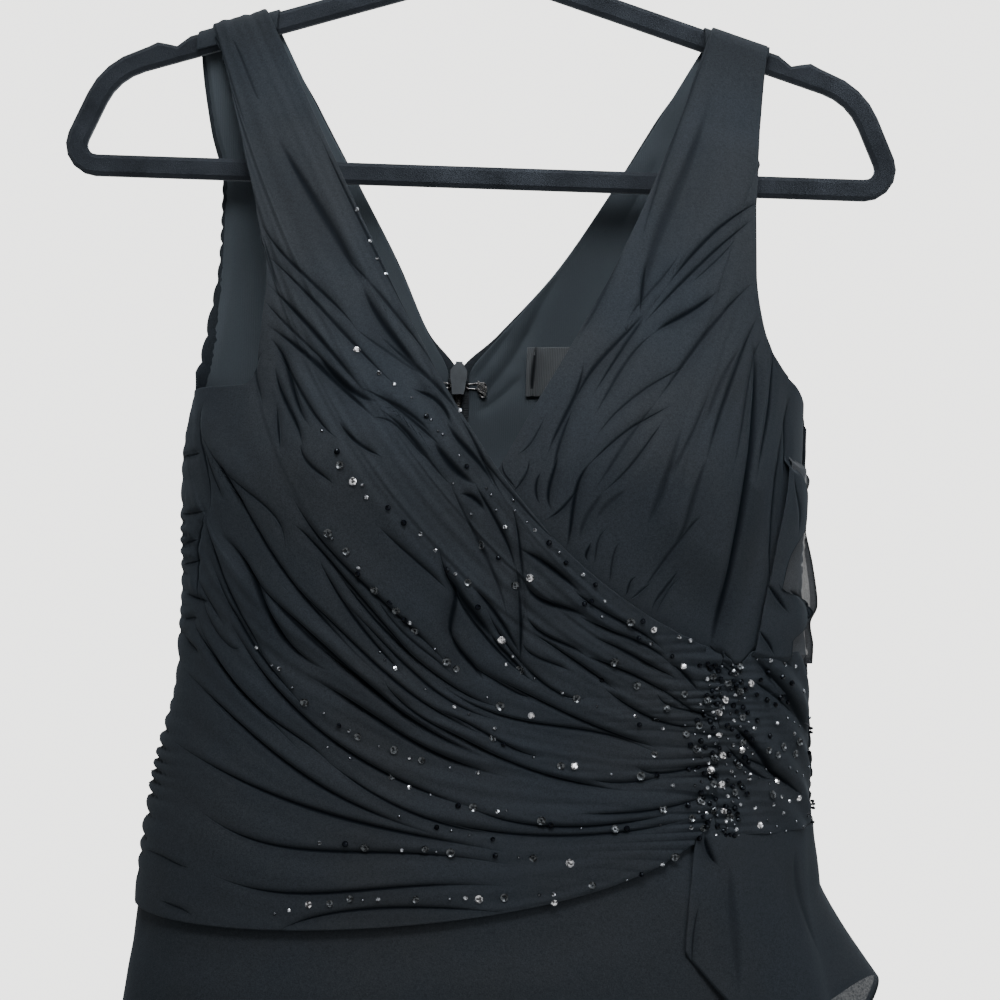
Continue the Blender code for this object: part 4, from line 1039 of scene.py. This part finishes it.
# the hem's drop, its angle round the body and how far it swings out
flounceHem = table("across drop angle swing", (
    (0, 614, 35, 1.2), (0.12, 640, 43, 3.5), (0.40, 672, 58, 9), (0.64, 664, 74, 14),
    (0.80, 646, 92, 23), (1.0, 690, 122, 12.5)))
flounceTop = table("across drop", ((0, 542), (0.04, 545), (0.10, 551), (0.2, 556.7), (1, 556.7)))
flounceFolds = (
    (126, 556, 127, 561, 129, 566, 133, 571, 2.0, 1.5),
    (139, 572, 140, 590, 142, 612, 143, 634, 0.7, 2.6),
    (123, 590, 121, 600, 120, 610, 120, 622, 1.0, 1.0),
    (176, 566, 177, 582, 181, 600, 188, 622, 0.7, 2.0))


def makeFlounceLower():
    # fanned out from the band's bottom seam to a longer hem: drop and angle are blended on the way
    # down, and the cloth leaves the body by a power of that way times the hem's swing and a wave; its
    # top is sunk under the band, and its left edge lies flat on the skirt
    across, down = shares(flounce, 1.05)
    hem, top = readAt(flounceHem, across), readAt(flounceTop, across)["drop"]
    fall = top + (hem["drop"] - top) * down
    begin = turnAt(np.full(1, body["bandLeft"] - 8), top[:1, 0])[0]
    turnTop = begin + (np.radians(flounce["topEnd"]) - begin) * across
    turn = turnTop + (np.radians(hem["angle"]) - turnTop) * down
    wave = np.cos(2 * np.pi * (flounce["waves"] * across - 0.18))
    clearOfBack = (flounce["clear"] + 1.5 * rise(down / 0.3)) * rise((across - 0.58) / 0.16)
    start = 0.36 * rise(across / 0.7)
    flare = np.clip((down - start) / (1 - start), 0, 1) ** flounce["flare"]
    height = 0.5 + clearOfBack + flare * (hem["swing"] + flounce["wave"] * wave * rise(across / 0.25))
    height = height - flounce["sunk"] * (1 - rise(down / 0.08)) * (1 - rise((across - 0.05) / 0.1))
    height = height - flounce["leftSunk"] * (1 - rise(across / 0.05)) * (1 - rise((down - 0.30) / 0.20))
    high, lines = layFolds(flounceFolds, place(turn, fall)[..., 0], fall)
    rim = 0.7 * rise((down - 0.975) / 0.015)
    made, *_ = panel("hip_flounce", turn, fall, height + high, rim, sheer, "chiffon",
                     allSides, flounce["hemRadius"], flounce["hem"], lines=lines)
    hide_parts("flounce_lower")


cascade = {"columns": 50, "rows": 150, "bow": 0.8, "sag": 5, "tucked": 0.8, "swing": 0.3, "crease": 0.5,
           "clearUnder": 2.2, "clearFront": 3.4}


cascadeColumns = "t rootX rootDrop edgeX edgeDrop lift"
cascadeFront = table(cascadeColumns, (
    (0.00, 163, 362, 165, 364, 0.8), (0.15, 162, 378, 176, 383, 1.6),
    (0.28, 160, 392, 175, 397, 2.2), (0.40, 157, 406, 164, 414, 2.4),
    (0.50, 155, 418, 160, 430, 2.0), (0.60, 153, 430, 172, 435, 5.0),
    (0.68, 151, 440, 184, 444, 8.0), (0.76, 150, 448, 176, 452, 5.0),
    (0.84, 149, 455, 168, 458, 2.6), (0.92, 148, 461, 168, 464, 1.6),
    (1.00, 147, 467, 170, 470, 0.6)))
cascadeUnder = table(cascadeColumns, (
    (0.00, 166, 360, 169, 362, 0.4), (0.12, 165, 372, 181, 374, 1.0),
    (0.24, 163, 384, 177, 388, 0.8), (0.38, 160, 400, 180, 402, 1.0),
    (0.52, 157, 416, 184, 419, 2.0), (0.66, 155, 432, 187, 440, 3.0),
    (0.76, 153, 444, 184, 450, 1.8), (0.88, 152, 456, 186, 462, 1.4),
    (1.00, 151, 467, 186, 471, 0.5)))
cascadeFolds = (
    (152, 427, 156, 432, 160, 437, 165, 443, 2.0, 1.5),
    (149, 451, 152, 455, 155, 459, 158, 465, 1.6, 1.2),
    (165, 371, 168, 383, 170, 392, 169, 402, 1.4, 1.2),
    (166, 431, 172, 435, 178, 440, 183, 447, 1.8, 1.4))
# painted light: the single layer is coloured pale for the light that shows through it
paintedBacklitSheer = chiffonFinish("sheer_chiffon_single_painted_light", shade(cloth["pale"], 1.1), shade(cloth["pale"], 1.4),
                          sheerAlpha(0.935, 0.965))


def hangCascade(name, rows, clear, material):
    # ruled between the stitched root and a hem that swings in and out, and lifted off the body; past
    # the side of the body it keeps the depth that it has there
    reach, along = shares(cascade)
    value = readAt(rows, along)
    bow = reach ** cascade["bow"]
    x = value["rootX"] + (value["edgeX"] - value["rootX"]) * bow
    fall = value["rootDrop"] + (value["edgeDrop"] - value["rootDrop"]) * bow
    fall = fall + cascade["sag"] * reach * (1 - reach)
    turn = turnAt(np.minimum(x, level(fall, "right") - 0.8), fall)
    out = outward(turn, fall)
    high, lines = layFolds(cascadeFolds, x, fall)
    # both ends go in under a seam
    tucked = rise((along - 0.93) / 0.07) + rise((0.06 - along) / 0.06)
    height = clear * (1 - tucked) - cascade["tucked"] * tucked + cascade["crease"] * high
    points = place(turn, fall) + out * height[..., None]
    points[..., 0] += np.maximum(x - points[..., 0], 0)
    points[..., 1] -= value["lift"] * bow * (1 + cascade["swing"] * np.sin(9 * along + 3 * reach))
    rim = 0.8 * rise((reach - 0.94) / 0.04)
    made, *_ = layCloth(name, points, out, rim, material, "chiffon", allSides, flounce["hemRadius"],
                        flounce["hem"], lines=lines)
    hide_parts("flounce_upper")


makeFlounceLower()
hangCascade("side_cascade_single", cascadeUnder, cascade["clearUnder"], paintedBacklitSheer)
hangCascade("side_cascade", cascadeFront, cascade["clearFront"], sheer)
print("flounces")


# linings
satin = satinFinish()
lining = {"columns": 90, "rows": 170, "inset": 2.6, "waves": 0.45, "hemRadius": 0.4, "hem": 4.0}
liningFolds = (
    (34, 286, 20, 311, 9, 326, 0, 337, 1.3, 3.4), (20, 293, 12, 305, 5, 315, -2, 324, 1.0, 2.4),
    (27, 318, 18, 328, 10, 335, 1, 341, 1.0, 2.6), (46, 262, 38, 276, 31, 290, 24, 304, 0.9, 3.0),
    (-124, 205, -122, 232, -118, 262, -120, 300, 1.3, 3.2),
    (-104, 190, -106, 226, -100, 262, -101, 306, 1.2, 3.0),
    (96, 200, 90, 214, 84, 226, 76, 240, 0.8, 2.6))


def makeLining(name, node, rungs):
    # ruled like the backs, set in from them by the inset, with a slow wave and soft hanging folds
    share, rung, value = rungGrid(rungs, np.linspace(1, 8, lining["rows"]), lining["columns"])
    way = 1 if rungs["outX"][0] > 0 else -1
    near = rise((6.2 - rung) / 1.2)
    inX, inDrop = value["inX"] - way * 1.5 * near, value["inDrop"] - 1.3 * near
    x = value["outX"] + (inX - value["outX"]) * share
    fall = value["outDrop"] + (inDrop - value["outDrop"]) * share
    turn = turnAt(x, fall, True)
    soft = lining["waves"] * np.sin(share * 11 + rung * 1.3) * rise((rung - 2) / 2)
    high, lines = layFolds(liningFolds, x, fall)
    inset = lining["inset"] * (0.35 + 0.65 * rise(share / 0.06))
    made, *_ = panel(name, turn, fall, soft - high - inset, 0, satin, "lining_satin",
                     allSides, lining["hemRadius"], lining["hem"], inside=True)
    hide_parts(node)


makeLining("back_lining_right", "lining_right", liningRightRungs)
makeLining("back_lining_left", "lining_left", liningLeftRungs)
print("linings")


# label, zip and fastenings
def wovenFinish(name, tone, across):
    # a tight ribbed weave, paler on the ribs, with painted shade in its creases and wherever the mesh
    # marks a fold
    made = Finish(name, Specular_IOR_Level=0.2, Sheen_Weight=0.10, Sheen_Roughness=0.4,
                  Sheen_Tint=(0.7, 0.85, 1.0), Specular_Tint=(0.75, 0.88, 1.0))
    where = made.place()
    rib = made.node("ShaderNodeTexWave", {"bands_direction": across},
                    {"Vector": where, "Scale": 330.0, "Distortion": 0.6, "Detail": 1.0})
    cloud = made.noise(where, 160.0, 3.0)
    line, _ = made.creases()
    lit = made.ramp(rib * 0.5 + cloud * 0.5, (0.25, shade(tone, 0.65)), (0.75, tone))
    depth = made.mark("fold").math("MAXIMUM", line)
    # painted shade: creases and fold marks darken the weave nearly to black
    return made.set(Base_Color=made.blend(depth, lit, (0.003, 0.003, 0.004)),
                    Roughness=cloud * 0.2 + 0.5, Normal=made.bump(rib * 0.12 - line * 0.4, 1.0, 0.001))


label = {"left": 29.0, "right": 72.0, "top": 303.0, "bottom": 330.0, "tilt": -0.035, "inset": 4.7,
         "columns": 60, "rows": 40, "bulge": 0.5}
labelFolds = ((33.5, 300, 33.0, 310, 32.2, 320, 32.5, 333, 1.9, 1.7),
              (36, 328.5, 46, 328.3, 58, 328, 70, 327.6, 0.8, 0.5))
zipper = {"half": 5.9, "top": 322.0, "bottom": 538.0, "inset": 2.75, "columns": 24, "rows": 160,
          "ridge": 0.25, "coilTop": 329.0, "coilEnd": 4, "coil": 1.5, "pitch": 1.3, "turnRows": 6}


def makeLabel():
    # a bare woven label that bulges a little, its left end folded under and stitched down; the fold at
    # the left end is a crease, a shallow groove with painted shade, and a faint crease runs along the
    # bottom
    share, down = shares(label)
    x = label["left"] + (label["right"] - label["left"]) * share
    fall = label["top"] + (label["bottom"] - label["top"]) * down + label["tilt"] * (x - label["left"])
    high, lines = layFolds(labelFolds, x, fall)
    bulge = label["bulge"] * np.sin(np.pi * down) + 0.35 * np.sin(5 * share + 2 * down)
    weave = wovenFinish("label_weave", cloth["label"], "X")
    made, *_ = panel("neck_tag", turnAt(x, fall, True), fall, -label["inset"] - bulge - 0.3 * high, 0,
                     weave, "woven_black", allSides, 0.25, 4.0, inside=True, lines=lines)
    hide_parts("neck_label")


def makeZip():
    # two tape halves as one ribbed strip, and a coil as a half tube whose radius waves along it
    share, down = np.meshgrid(np.linspace(-1, 1, zipper["columns"]), np.linspace(0, 1, zipper["rows"]))
    fall = zipper["top"] + (zipper["bottom"] - zipper["top"]) * down
    x = body["backCentre"] + zipper["half"] * share
    ridge = zipper["ridge"] * np.exp(-(np.abs(share) - 0.45) ** 2 / 0.01)
    # painted shade along the middle of the strip, under the coil
    dark = 0.6 * np.exp(-share ** 2 / 0.01)
    weave = wovenFinish("zip_tape_weave", cloth["tape"], "Z")
    made, *_ = panel("zip_strip", turnAt(x, fall, True), fall, -zipper["inset"] - ridge, dark,
                     weave, "woven_black", allSides, 0.25, 2.0, inside=True)
    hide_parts("zip_tape")
    length = zipper["bottom"] - zipper["coilEnd"] - zipper["coilTop"]
    around, down = np.meshgrid(np.radians(np.linspace(-100, 100, 11)),
                               np.linspace(0, 1, int(length / zipper["pitch"] * zipper["turnRows"])))
    fall = zipper["coilTop"] + length * down
    wave = np.cos(2 * np.pi * fall / zipper["pitch"])
    radius = zipper["coil"] * (0.86 + 0.14 * wave)
    turn = turnAt(np.full(fall.shape, body["backCentre"]), fall, True)
    inset = zipper["inset"] + 0.3 + radius * np.cos(around) * 0.9
    points = place(turn, fall) - outward(turn, fall) * inset[..., None]
    points[..., 0] += radius * np.sin(around) * 1.25
    nylon = Finish("zip_coil", Specular_IOR_Level=0.5)
    speck = nylon.noise(nylon.place(), 900.0)
    nylon.set(Base_Color=nylon.ramp(speck, (0.3, 0.010), (0.7, 0.022)), Roughness=speck * 0.2 + 0.3)
    addMesh("zip_coils", points.reshape(-1, 3), gridFaces(*points.shape[:2]), nylon.material,
            slot="woven_black")


def ringFaces(rings, sides, closed=False):
    # triangles between rings of points, on round to the first ring, or with a point at each end
    number = np.arange(rings * sides).reshape(rings, sides)
    low, first, last = number.size, number[0], number[-1]
    if closed:
        number = np.concatenate((number, number[:1]))
    a, b, c, d = number[:-1], np.roll(number[:-1], -1, 1), np.roll(number[1:], -1, 1), number[1:]
    faces = [np.stack((a, b, c), -1).reshape(-1, 3), np.stack((a, c, d), -1).reshape(-1, 3)]
    if not closed:
        faces += [np.stack((np.full(sides, low), np.roll(first, -1), first), -1),
                  np.stack((np.full(sides, low + 1), last, np.roll(last, -1)), -1)]
    return np.concatenate(faces)


def tube(path, radius, sides=8):
    # a round wire: rings square to the path, and a point just past each end
    path = np.array(path, float)
    along = unit(np.gradient(path, axis=0))
    side = unit(np.cross(along, np.array((0.3, 0.2, 0.93)) + 0 * along))
    other = np.cross(along, side)
    around = 2 * np.pi * np.arange(sides) / sides
    rings = path[:, None] + radius * (np.cos(around)[None, :, None] * side[:, None]
                                      + np.sin(around)[None, :, None] * other[:, None])
    ends = [path[0] - along[0] * radius * 0.5, path[-1] + along[-1] * radius * 0.5]
    return np.concatenate((rings.reshape(-1, 3), ends)), ringFaces(len(path), sides)


def joined(parts):
    # several meshes of points and triangles as one
    start = np.cumsum([0] + [len(points) for points, _ in parts[:-1]])
    return (np.concatenate([points for points, _ in parts]),
            np.concatenate([faces + n for (_, faces), n in zip(parts, start)]))


def bentWire(knots, count):
    # smooth curve through knots
    knots = np.array(knots, float)
    t = np.linspace(0, len(knots) - 1, count)
    stations = np.arange(len(knots), dtype=float)
    return np.stack([smooth(t, stations, column) for column in knots.T], axis=-1)


def seatAt(x, fall, height, behind=True):
    # a point raised from the body's surface, or lowered into it, by its height
    x, fall = np.array(x, float), np.array(fall, float)
    turn = turnAt(x, fall, behind)
    return place(turn, fall) + outward(turn, fall) * height


fastening = {"middles": ((-0.5, 1), (-17.5, -1)), "drop": 321.5, "wire": 0.42, "inset": 3.6,
             "stitches": 7, "stitchStep": 0.8, "thread": 0.28, "threadInset": 4.3,
             "bend": ((5, 5.5), (7, 3.5), (5, 2), (1, 2.5), (-3, 3), (-4.2, 4.2), (-3, 5.4), (1, 5.6),
                      (5, 7.2), (7, 9), (5, 10), (3.4, 8.4))}


def makeFastenings():
    # a hook and its eye either side of the zip's top, bent wires through the knots of the bend, each
    # with a row of small stitches over it
    wires, threads = [], []
    for middle, way in fastening["middles"]:
        knots = [(middle + way * a, fastening["drop"] + b) for a, b in fastening["bend"]]
        wires.append(tube(seatAt(*bentWire(knots, 70).T, -fastening["inset"]), fastening["wire"], 7))
        for i in range(fastening["stitches"]):
            x, drop = middle + way * (2.2 + fastening["stitchStep"] * i), 322.2 + 0.5 * i
            knot = [(x, drop), (x + 0.5, drop + 2), (x - 0.2, drop + 4), (x + 0.4, drop + 6)]
            threads.append(tube(seatAt(*bentWire(knot, 9).T, -fastening["threadInset"]),
                                fastening["thread"], 5))
    enamel = Finish("enamelled_wire", Metallic=0.6, Specular_IOR_Level=0.5)
    worn = enamel.noise(enamel.place(), 500.0, 2.0)
    enamel.set(Base_Color=enamel.ramp(worn, (0.4, 0.02), (0.75, 0.30)), Roughness=worn * 0.3 + 0.12)
    thread = Finish("sewing_thread", Roughness=0.6, Sheen_Weight=0.4)
    twist = thread.noise(thread.place(), 1500.0)
    thread.set(Base_Color=thread.ramp(twist, (0.3, 0.008), (0.7, 0.022)))
    addMesh("hook_and_eye", *joined(wires), enamel.material, slot="bright_steel")
    addMesh("fastening_threads", *joined(threads), thread.material, slot="woven_black")


makeLabel()
makeZip()
makeFastenings()
print("label, zip and fastenings")


# beads
beads = {"crystal": 2.5, "small": 1.5, "sequin": 2.6, "seed": 0.95, "dark": 1.8}       # diameters
beading = {"scale": 1.6, "uneven": 0.12, "tip": 0.22, "lineRoom": 3.6,
           "seamCount": 150, "seamRoom": 2.1, "bandCount": 60, "bandRoom": 5.2,
           "seamKinds": ("dark", "seed", "dark", "sequin", "seed", "dark", "small"),
           "bandKinds": ("seed", "sequin", "dark", "seed", "dark", "small", "seed")}
stones = {
    "crystal": (
        (-58, 317), (-56, 382), (20, 459), (32, 427), (95, 451), (111, 470), (132, 505), (134, 531),
        (58, 570), (59, 522), (51, 591), (35, 497), (-72, 595), (12, 589), (131, 494), (147, 479),
        (165, 530), (177, 540), (154, 552), (134, 487), (134, 516), (128, 523), (135, 544),
        (144, 513)),
    "small": (
        (-38, 333), (-49, 390), (-22, 407), (-15, 415), (-3, 346), (25, 467), (-104, 468),
        (-91, 478), (-63, 242), (-55, 259), (-50, 269), (-45, 277), (70, 437), (114, 457),
        (156, 467), (165, 470), (172, 471), (179, 473), (172, 506), (162, 500), (176, 485),
        (182, 477), (167, 547), (149, 526), (124, 540), (118, 552), (106, 573), (109, 531),
        (103, 502), (94, 459)),
    "sequin": (
        (-62, 375), (-68, 408), (-43, 435), (-24, 455), (-3, 474), (2, 430), (25, 431), (8, 412),
        (-78, 494), (-33, 517), (-15, 565), (-51, 591), (69, 581), (83, 447), (76, 468), (88, 480),
        (104, 492), (98, 515), (115, 505), (104, 543), (160, 537), (174, 517), (139, 474),
        (113, 484)),
    "dark": (
        (-39, 395), (-30, 402), (-8, 424), (-22, 350), (0, 374), (17, 418), (-37, 441), (-52, 428),
        (-29, 449), (41, 409), (50, 418), (64, 437), (-60, 505), (1, 544), (-55, 565), (19, 567),
        (94, 575), (120, 469), (151, 498), (158, 506), (182, 518), (116, 541), (90, 500), (70, 478)),
    "seed": (
        (-29, 342), (-15, 357), (-13, 359), (-5, 368), (9, 383), (12, 387), (-7, 381), (2, 396),
        (-72, 359), (23, 389), (-42, 467), (30, 400), (-57, 382), (4, 497), (-85, 487), (-66, 517),
        (7, 558)),
}
beadLines = (
    # cubic through four points in x and drop, how many beads lie along it, and their kinds in turn
    (24, 394, 54, 421, 84, 444, 114, 457, 12, "seed small dark"),
    (-58, 317, -26, 345, 2, 375, 32, 427, 11, "seed small"),
    (-72, 359, -40, 394, -12, 418, 18, 459, 12, "seed dark small"),
    (-68, 408, -38, 439, -10, 468, 20, 492, 11, "seed sequin small"),
    (-42, 468, -22, 483, -2, 494, 17, 504, 6, "seed small"),
    (-103, 468, -70, 498, -35, 517, 10, 527, 12, "sequin seed small"),
    (-66, 517, -38, 530, -10, 540, 20, 546, 7, "small seed sequin"),
    (-31, 549, -13, 554, 2, 557, 18, 560, 4, "seed dark"),
    (-69, 565, -27, 566, 15, 567, 57, 569, 10, "small seed sequin"),
    (-92, 601, -24, 590, 44, 586, 112, 569, 15, "seed small sequin"),
    (20, 470, 45, 482, 75, 493, 118, 500, 9, "small sequin seed"),
    (15, 508, 45, 520, 80, 526, 120, 524, 9, "sequin dark seed"),
    (25, 545, 55, 552, 85, 553, 118, 547, 8, "seed sequin dark"),
    (60, 440, 80, 452, 100, 462, 118, 470, 6, "dark seed"))


def lathe(profile, sides, ring=False):
    # a profile of radius and height turned about the axis, from pole to pole, or as a closed ring
    profile = np.array(profile, float)
    rims = profile if ring else profile[1:-1]
    around = 2 * np.pi * np.arange(sides) / sides
    points = np.stack((np.outer(rims[:, 0], np.cos(around)), np.outer(rims[:, 0], np.sin(around)),
                       np.repeat(rims[:, 1:], sides, axis=1)), axis=-1).reshape(-1, 3)
    if not ring:
        points = np.concatenate((points, [(0, 0, profile[0, 1]), (0, 0, profile[-1, 1])]))
    return points, ringFaces(len(rims), sides, ring)


beadShapes = {
    "crystal": lathe(((0, 0), (0.80, 0), (1.0, 0.28), (0.62, 0.66), (0, 0.70)), 8),
    "small": lathe(((0, 0), (0.80, 0), (1.0, 0.35), (0.60, 0.85), (0, 0.90)), 7),
    "sequin": lathe(((0.30, 0.10), (0.62, 0.12), (1.0, 0.36), (0.97, 0.46), (0.60, 0.24), (0.30, 0.22)),
                    10, True),
    "seed": lathe(((0, 0), (0.75, 0.15), (1.0, 0.65), (0.70, 1.15), (0, 1.3)), 6),
    "dark": lathe(((0, 0), (0.72, 0.10), (1.0, 0.60), (0.72, 1.10), (0, 1.3)), 8),
}


def sparkle(name, tone, metal, rough, coat, gloss=0.5, paintedGlow=0.0):
    # glass and foil: cloudy in places, with rubbed edges, and a painted glow, an emission in the
    # stone's own colours that stands in for light caught in it
    made = Finish(name, Metallic=metal, Specular_IOR_Level=gloss, Coat_Roughness=0.05, IOR=1.5,
                  Specular_Tint=(0.75, 0.88, 1.0), Emission_Strength=paintedGlow)
    cloud = made.noise(made.place(), 760.0, 2.0)
    seen = made.ramp(cloud, (0.44, shade(tone, 0.10)), (0.56, tone))
    return made.set(Base_Color=seen, Emission_Color=seen, Roughness=cloud * rough + 0.04,
                    Coat_Weight=coat)


beadFinish = {
    # the two stones glow with painted light; the rest have none
    "crystal": sparkle("clear_stone", (0.95, 0.96, 1.0), 1.0, 0.12, 0.0, 0.5, 0.22),
    "small": sparkle("small_stone", (0.60, 0.64, 0.70), 1.0, 0.14, 0.0, 0.5, 0.10),
    "sequin": sparkle("smoke_sequin", (0.10, 0.11, 0.12), 0.6, 0.30, 0.25),
    "seed": sparkle("silver_seed", (0.20, 0.22, 0.25), 0.8, 0.30, 0.0),
    "dark": sparkle("jet_bead", (0.004, 0.005, 0.008), 0.0, 0.06, 0.0, 0.12),
}


def layBeads():
    # beads go on the nearest point of the wrap or the band; a bead of a line gives way to a stone,
    # and a dense scatter, spread by the golden angle, covers the gathered seam between the two
    taken = [(x, drop, kind) for kind, spots in stones.items() for x, drop in spots]

    def put(x, drop, kind, room):
        if min(math.hypot(x - a, drop - b) for a, b, _ in taken) > room:
            taken.append((x, drop, kind))
    for row in beadLines:
        kinds = row[9].split()
        for i in range(row[8]):
            t = (i + 0.3 * math.sin(2.1 * i + row[0])) / (row[8] - 1)
            x, drop = throughFour(min(max(t, 0), 1)) @ np.array(row[:8], float).reshape(4, 2)
            put(x, drop, kinds[i % len(kinds)], beading["lineRoom"])
    for i in range(beading["seamCount"]):
        share, swing = (i + 0.5) / beading["seamCount"], (i * 0.618034) % 1
        drop = 468 + 92 * share
        x = 132 + (swing - 0.5) * (16 + 16 * math.sin(math.pi * share) ** 2) + (3 if swing > 0.5 else 0)
        put(x, drop, beading["seamKinds"][i % 7], beading["seamRoom"])
    for i in range(beading["bandCount"]):
        x, drop = 150 + 34 * ((i * 0.754878) % 1), 466 + 92 * ((i * 0.569840) % 1)
        put(x, drop, beading["bandKinds"][i % 7], beading["bandRoom"])
    allX, allDrop, allPoints, allNormals = [
        np.concatenate([grid[k].reshape(-1, *grid[k].shape[2:]) for grid in (wrapGrid, bandGrid)])
        for k in range(4)]
    for kind, (shape, faces) in beadShapes.items():
        spots = np.array([(x, drop) for x, drop, own in taken if own == kind])
        near = [int(np.argmin((allX - x) ** 2 + (allDrop - drop) ** 2)) for x, drop in spots]
        number = np.arange(len(spots))[:, None]
        tip = np.concatenate((np.sin(5.1 * number), np.cos(3.7 * number), np.sin(2.9 * number)), axis=1)
        up = unit(allNormals[near] + beading["tip"] * tip)
        one = unit(np.cross(up, (0.2, 0.3, 1.0)))
        two = np.cross(up, one)
        one, two = (one * np.cos(2.4 * number) + two * np.sin(2.4 * number),
                    two * np.cos(2.4 * number) - one * np.sin(2.4 * number))
        uneven = 1 + beading["uneven"] * np.sin(7.3 * number)
        size = beads[kind] / 2 * beading["scale"] * uneven[..., None]
        raised = size * (shape[None, :, :1] * one[:, None] + shape[None, :, 1:2] * two[:, None]
                         + shape[None, :, 2:] * up[:, None])
        made = allPoints[near][:, None] + raised
        every = faces[None] + (np.arange(len(spots)) * len(shape))[:, None, None]
        addMesh("beads_" + kind, made.reshape(-1, 3), every.reshape(-1, 3), beadFinish[kind],
                sharp=kind != "seed", slot="bright_steel")


tassels = {"at": ((181.5, 503, 2), (184, 543, 3), (183.5, 550, 1)), "thread": 0.32, "jet": 1.2,
           "bend": ((-3, 0, 1), (1.2, -0.3, 0), (2.6, -0.6, -1.6), (3.0, -0.7, -4.2))}


def hangBeads():
    # jet beads that hang off the band's side edge on short bent threads, one to three on each
    wires, jets = [], []
    shape, faces = beadShapes["dark"]
    for x, drop, count in tassels["at"]:
        start = seatAt(x, drop, 0, False) + (0.8, 0, 0)
        line = bentWire([start + step for step in tassels["bend"]], 12)
        wires.append(tube(line, tassels["thread"], 5))
        for i in range(count):
            jets.append((shape * tassels["jet"] + line[-1 - 3 * i] + (0.3 * i, 0, -0.6), faces))
    addMesh("bead_threads", *joined(wires), wovenFinish("bead_thread", (0.03, 0.03, 0.035), "Z"),
            slot="woven_black")
    addMesh("beads_hanging", *joined(jets), beadFinish["dark"], slot="bright_steel")


layBeads()
hangBeads()
print("beads")


# hanger
def velvetFinish():
    # short flock: worn in slow patches, with a fine nap
    made = Finish("velvet_flock", Roughness=0.95, Specular_IOR_Level=0.1, Sheen_Weight=0.5,
                  Sheen_Roughness=0.35, Sheen_Tint=(0.8, 0.9, 1.0))
    where = made.place()
    worn = made.noise(where, 45.0, 4.0)
    nap = made.noise(where, 1800.0, 1.0)
    return made.set(Base_Color=made.ramp(worn * 0.7 + nap * 0.3, (0.35, (0.012, 0.0145, 0.0185)),
                                         (0.70, (0.026, 0.031, 0.039))),
                    Normal=made.bump(nap, 0.6, 0.0004))


def metalFinish(name, tone, metal, rough, wear):
    # fine scratches and rubbed patches over a plain metal
    made = Finish(name, Metallic=metal, Specular_IOR_Level=0.5)
    where = made.place()
    cloud, scratch = made.noise(where, 220.0, 3.0), made.noise(where, 2400.0, 2.0)
    lit = made.ramp(cloud * 0.6 + scratch * 0.4, (0.35, tone), (0.75, shade(tone, wear)))
    made.set(Base_Color=lit, Roughness=cloud * 0.15 + rough, Normal=made.bump(scratch, 0.2, 0.0001))
    return made.material


painted = metalFinish("painted_slider", (0.027, 0.032, 0.038), 0.2, 0.38, 1.7)
for name, finish in (("hanger_frame", velvetFinish()), ("zip_slider", painted), ("zip_pull", painted),
                     ("hanger_hook", metalFinish("bright_steel", (0.62, 0.62, 0.63), 1.0, 0.12, 1.15))):
    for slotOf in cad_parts[name].material_slots:
        slotOf.material = finish


# floor, world and lights
stage = {"floor": -1.165, "size": 3.4, "tone": (0.805, 0.80, 0.78),
         "room": 0.43, "seen": 3.7}         # the room as a light, and as the camera sees it
lights = (      # place, aim, power in watts, size, spread in degrees
    ("key", (-0.02, -0.74, 0.56), (0.03, 0, -0.2), 2.2, 0.6, 44),
    ("fill", (1.3, -1.5, 0.3), (0, 0, -0.4), 15, 1.2, 180),
    ("back", (0.9, 2.0, 0.7), (0, 0, -0.5), 22, 1.2, 180),
    ("ceiling", (0, 0.8, 2.0), (0, 0.9, -1), 34, 2.0, 180))


def makeStage():
    made = Finish("pale_floor", Roughness=0.9, Specular_IOR_Level=0.2)
    made.set(Base_Color=made.ramp(made.noise(made.place(), 3.0, 2.0), (0.3, (0.86, 0.85, 0.83)),
                                  (0.7, (0.89, 0.88, 0.86))))
    half, z = stage["size"] / 2, stage["floor"]
    mesh = bpy.data.meshes.new("floor")
    mesh.from_pydata([(-half, -half, z), (half, -half, z), (half, half, z), (-half, half, z)], [],
                     [(0, 1, 2, 3)])
    mesh.materials.append(made.material)
    floor = putIn("floor", mesh)
    world = bpy.data.worlds.new("pale_room")
    bpy.context.scene.world = world
    world.use_nodes = True
    tree = world.node_tree
    back = tree.nodes["Background"]
    back.inputs["Color"].default_value = (*stage["tone"], 1)
    ray = tree.nodes.new("ShaderNodeLightPath")
    lift = tree.nodes.new("ShaderNodeMapRange")
    lift.inputs["To Min"].default_value = stage["room"]
    lift.inputs["To Max"].default_value = stage["seen"]
    tree.links.new(ray.outputs["Is Camera Ray"], lift.inputs["Value"])
    tree.links.new(lift.outputs["Result"], back.inputs["Strength"])
    for name, stand, aim, power, size, spread in lights:
        lamp = bpy.data.lights.new(name, "AREA")
        lamp.energy, lamp.size, lamp.spread = power, size, math.radians(spread)
        shown = putIn(name, lamp)
        shown.location = stand
        way = Vector(aim) - Vector(stand)
        shown.rotation_euler = way.to_track_quat("-Z", "Y").to_euler()


makeStage()
print("floor and light")
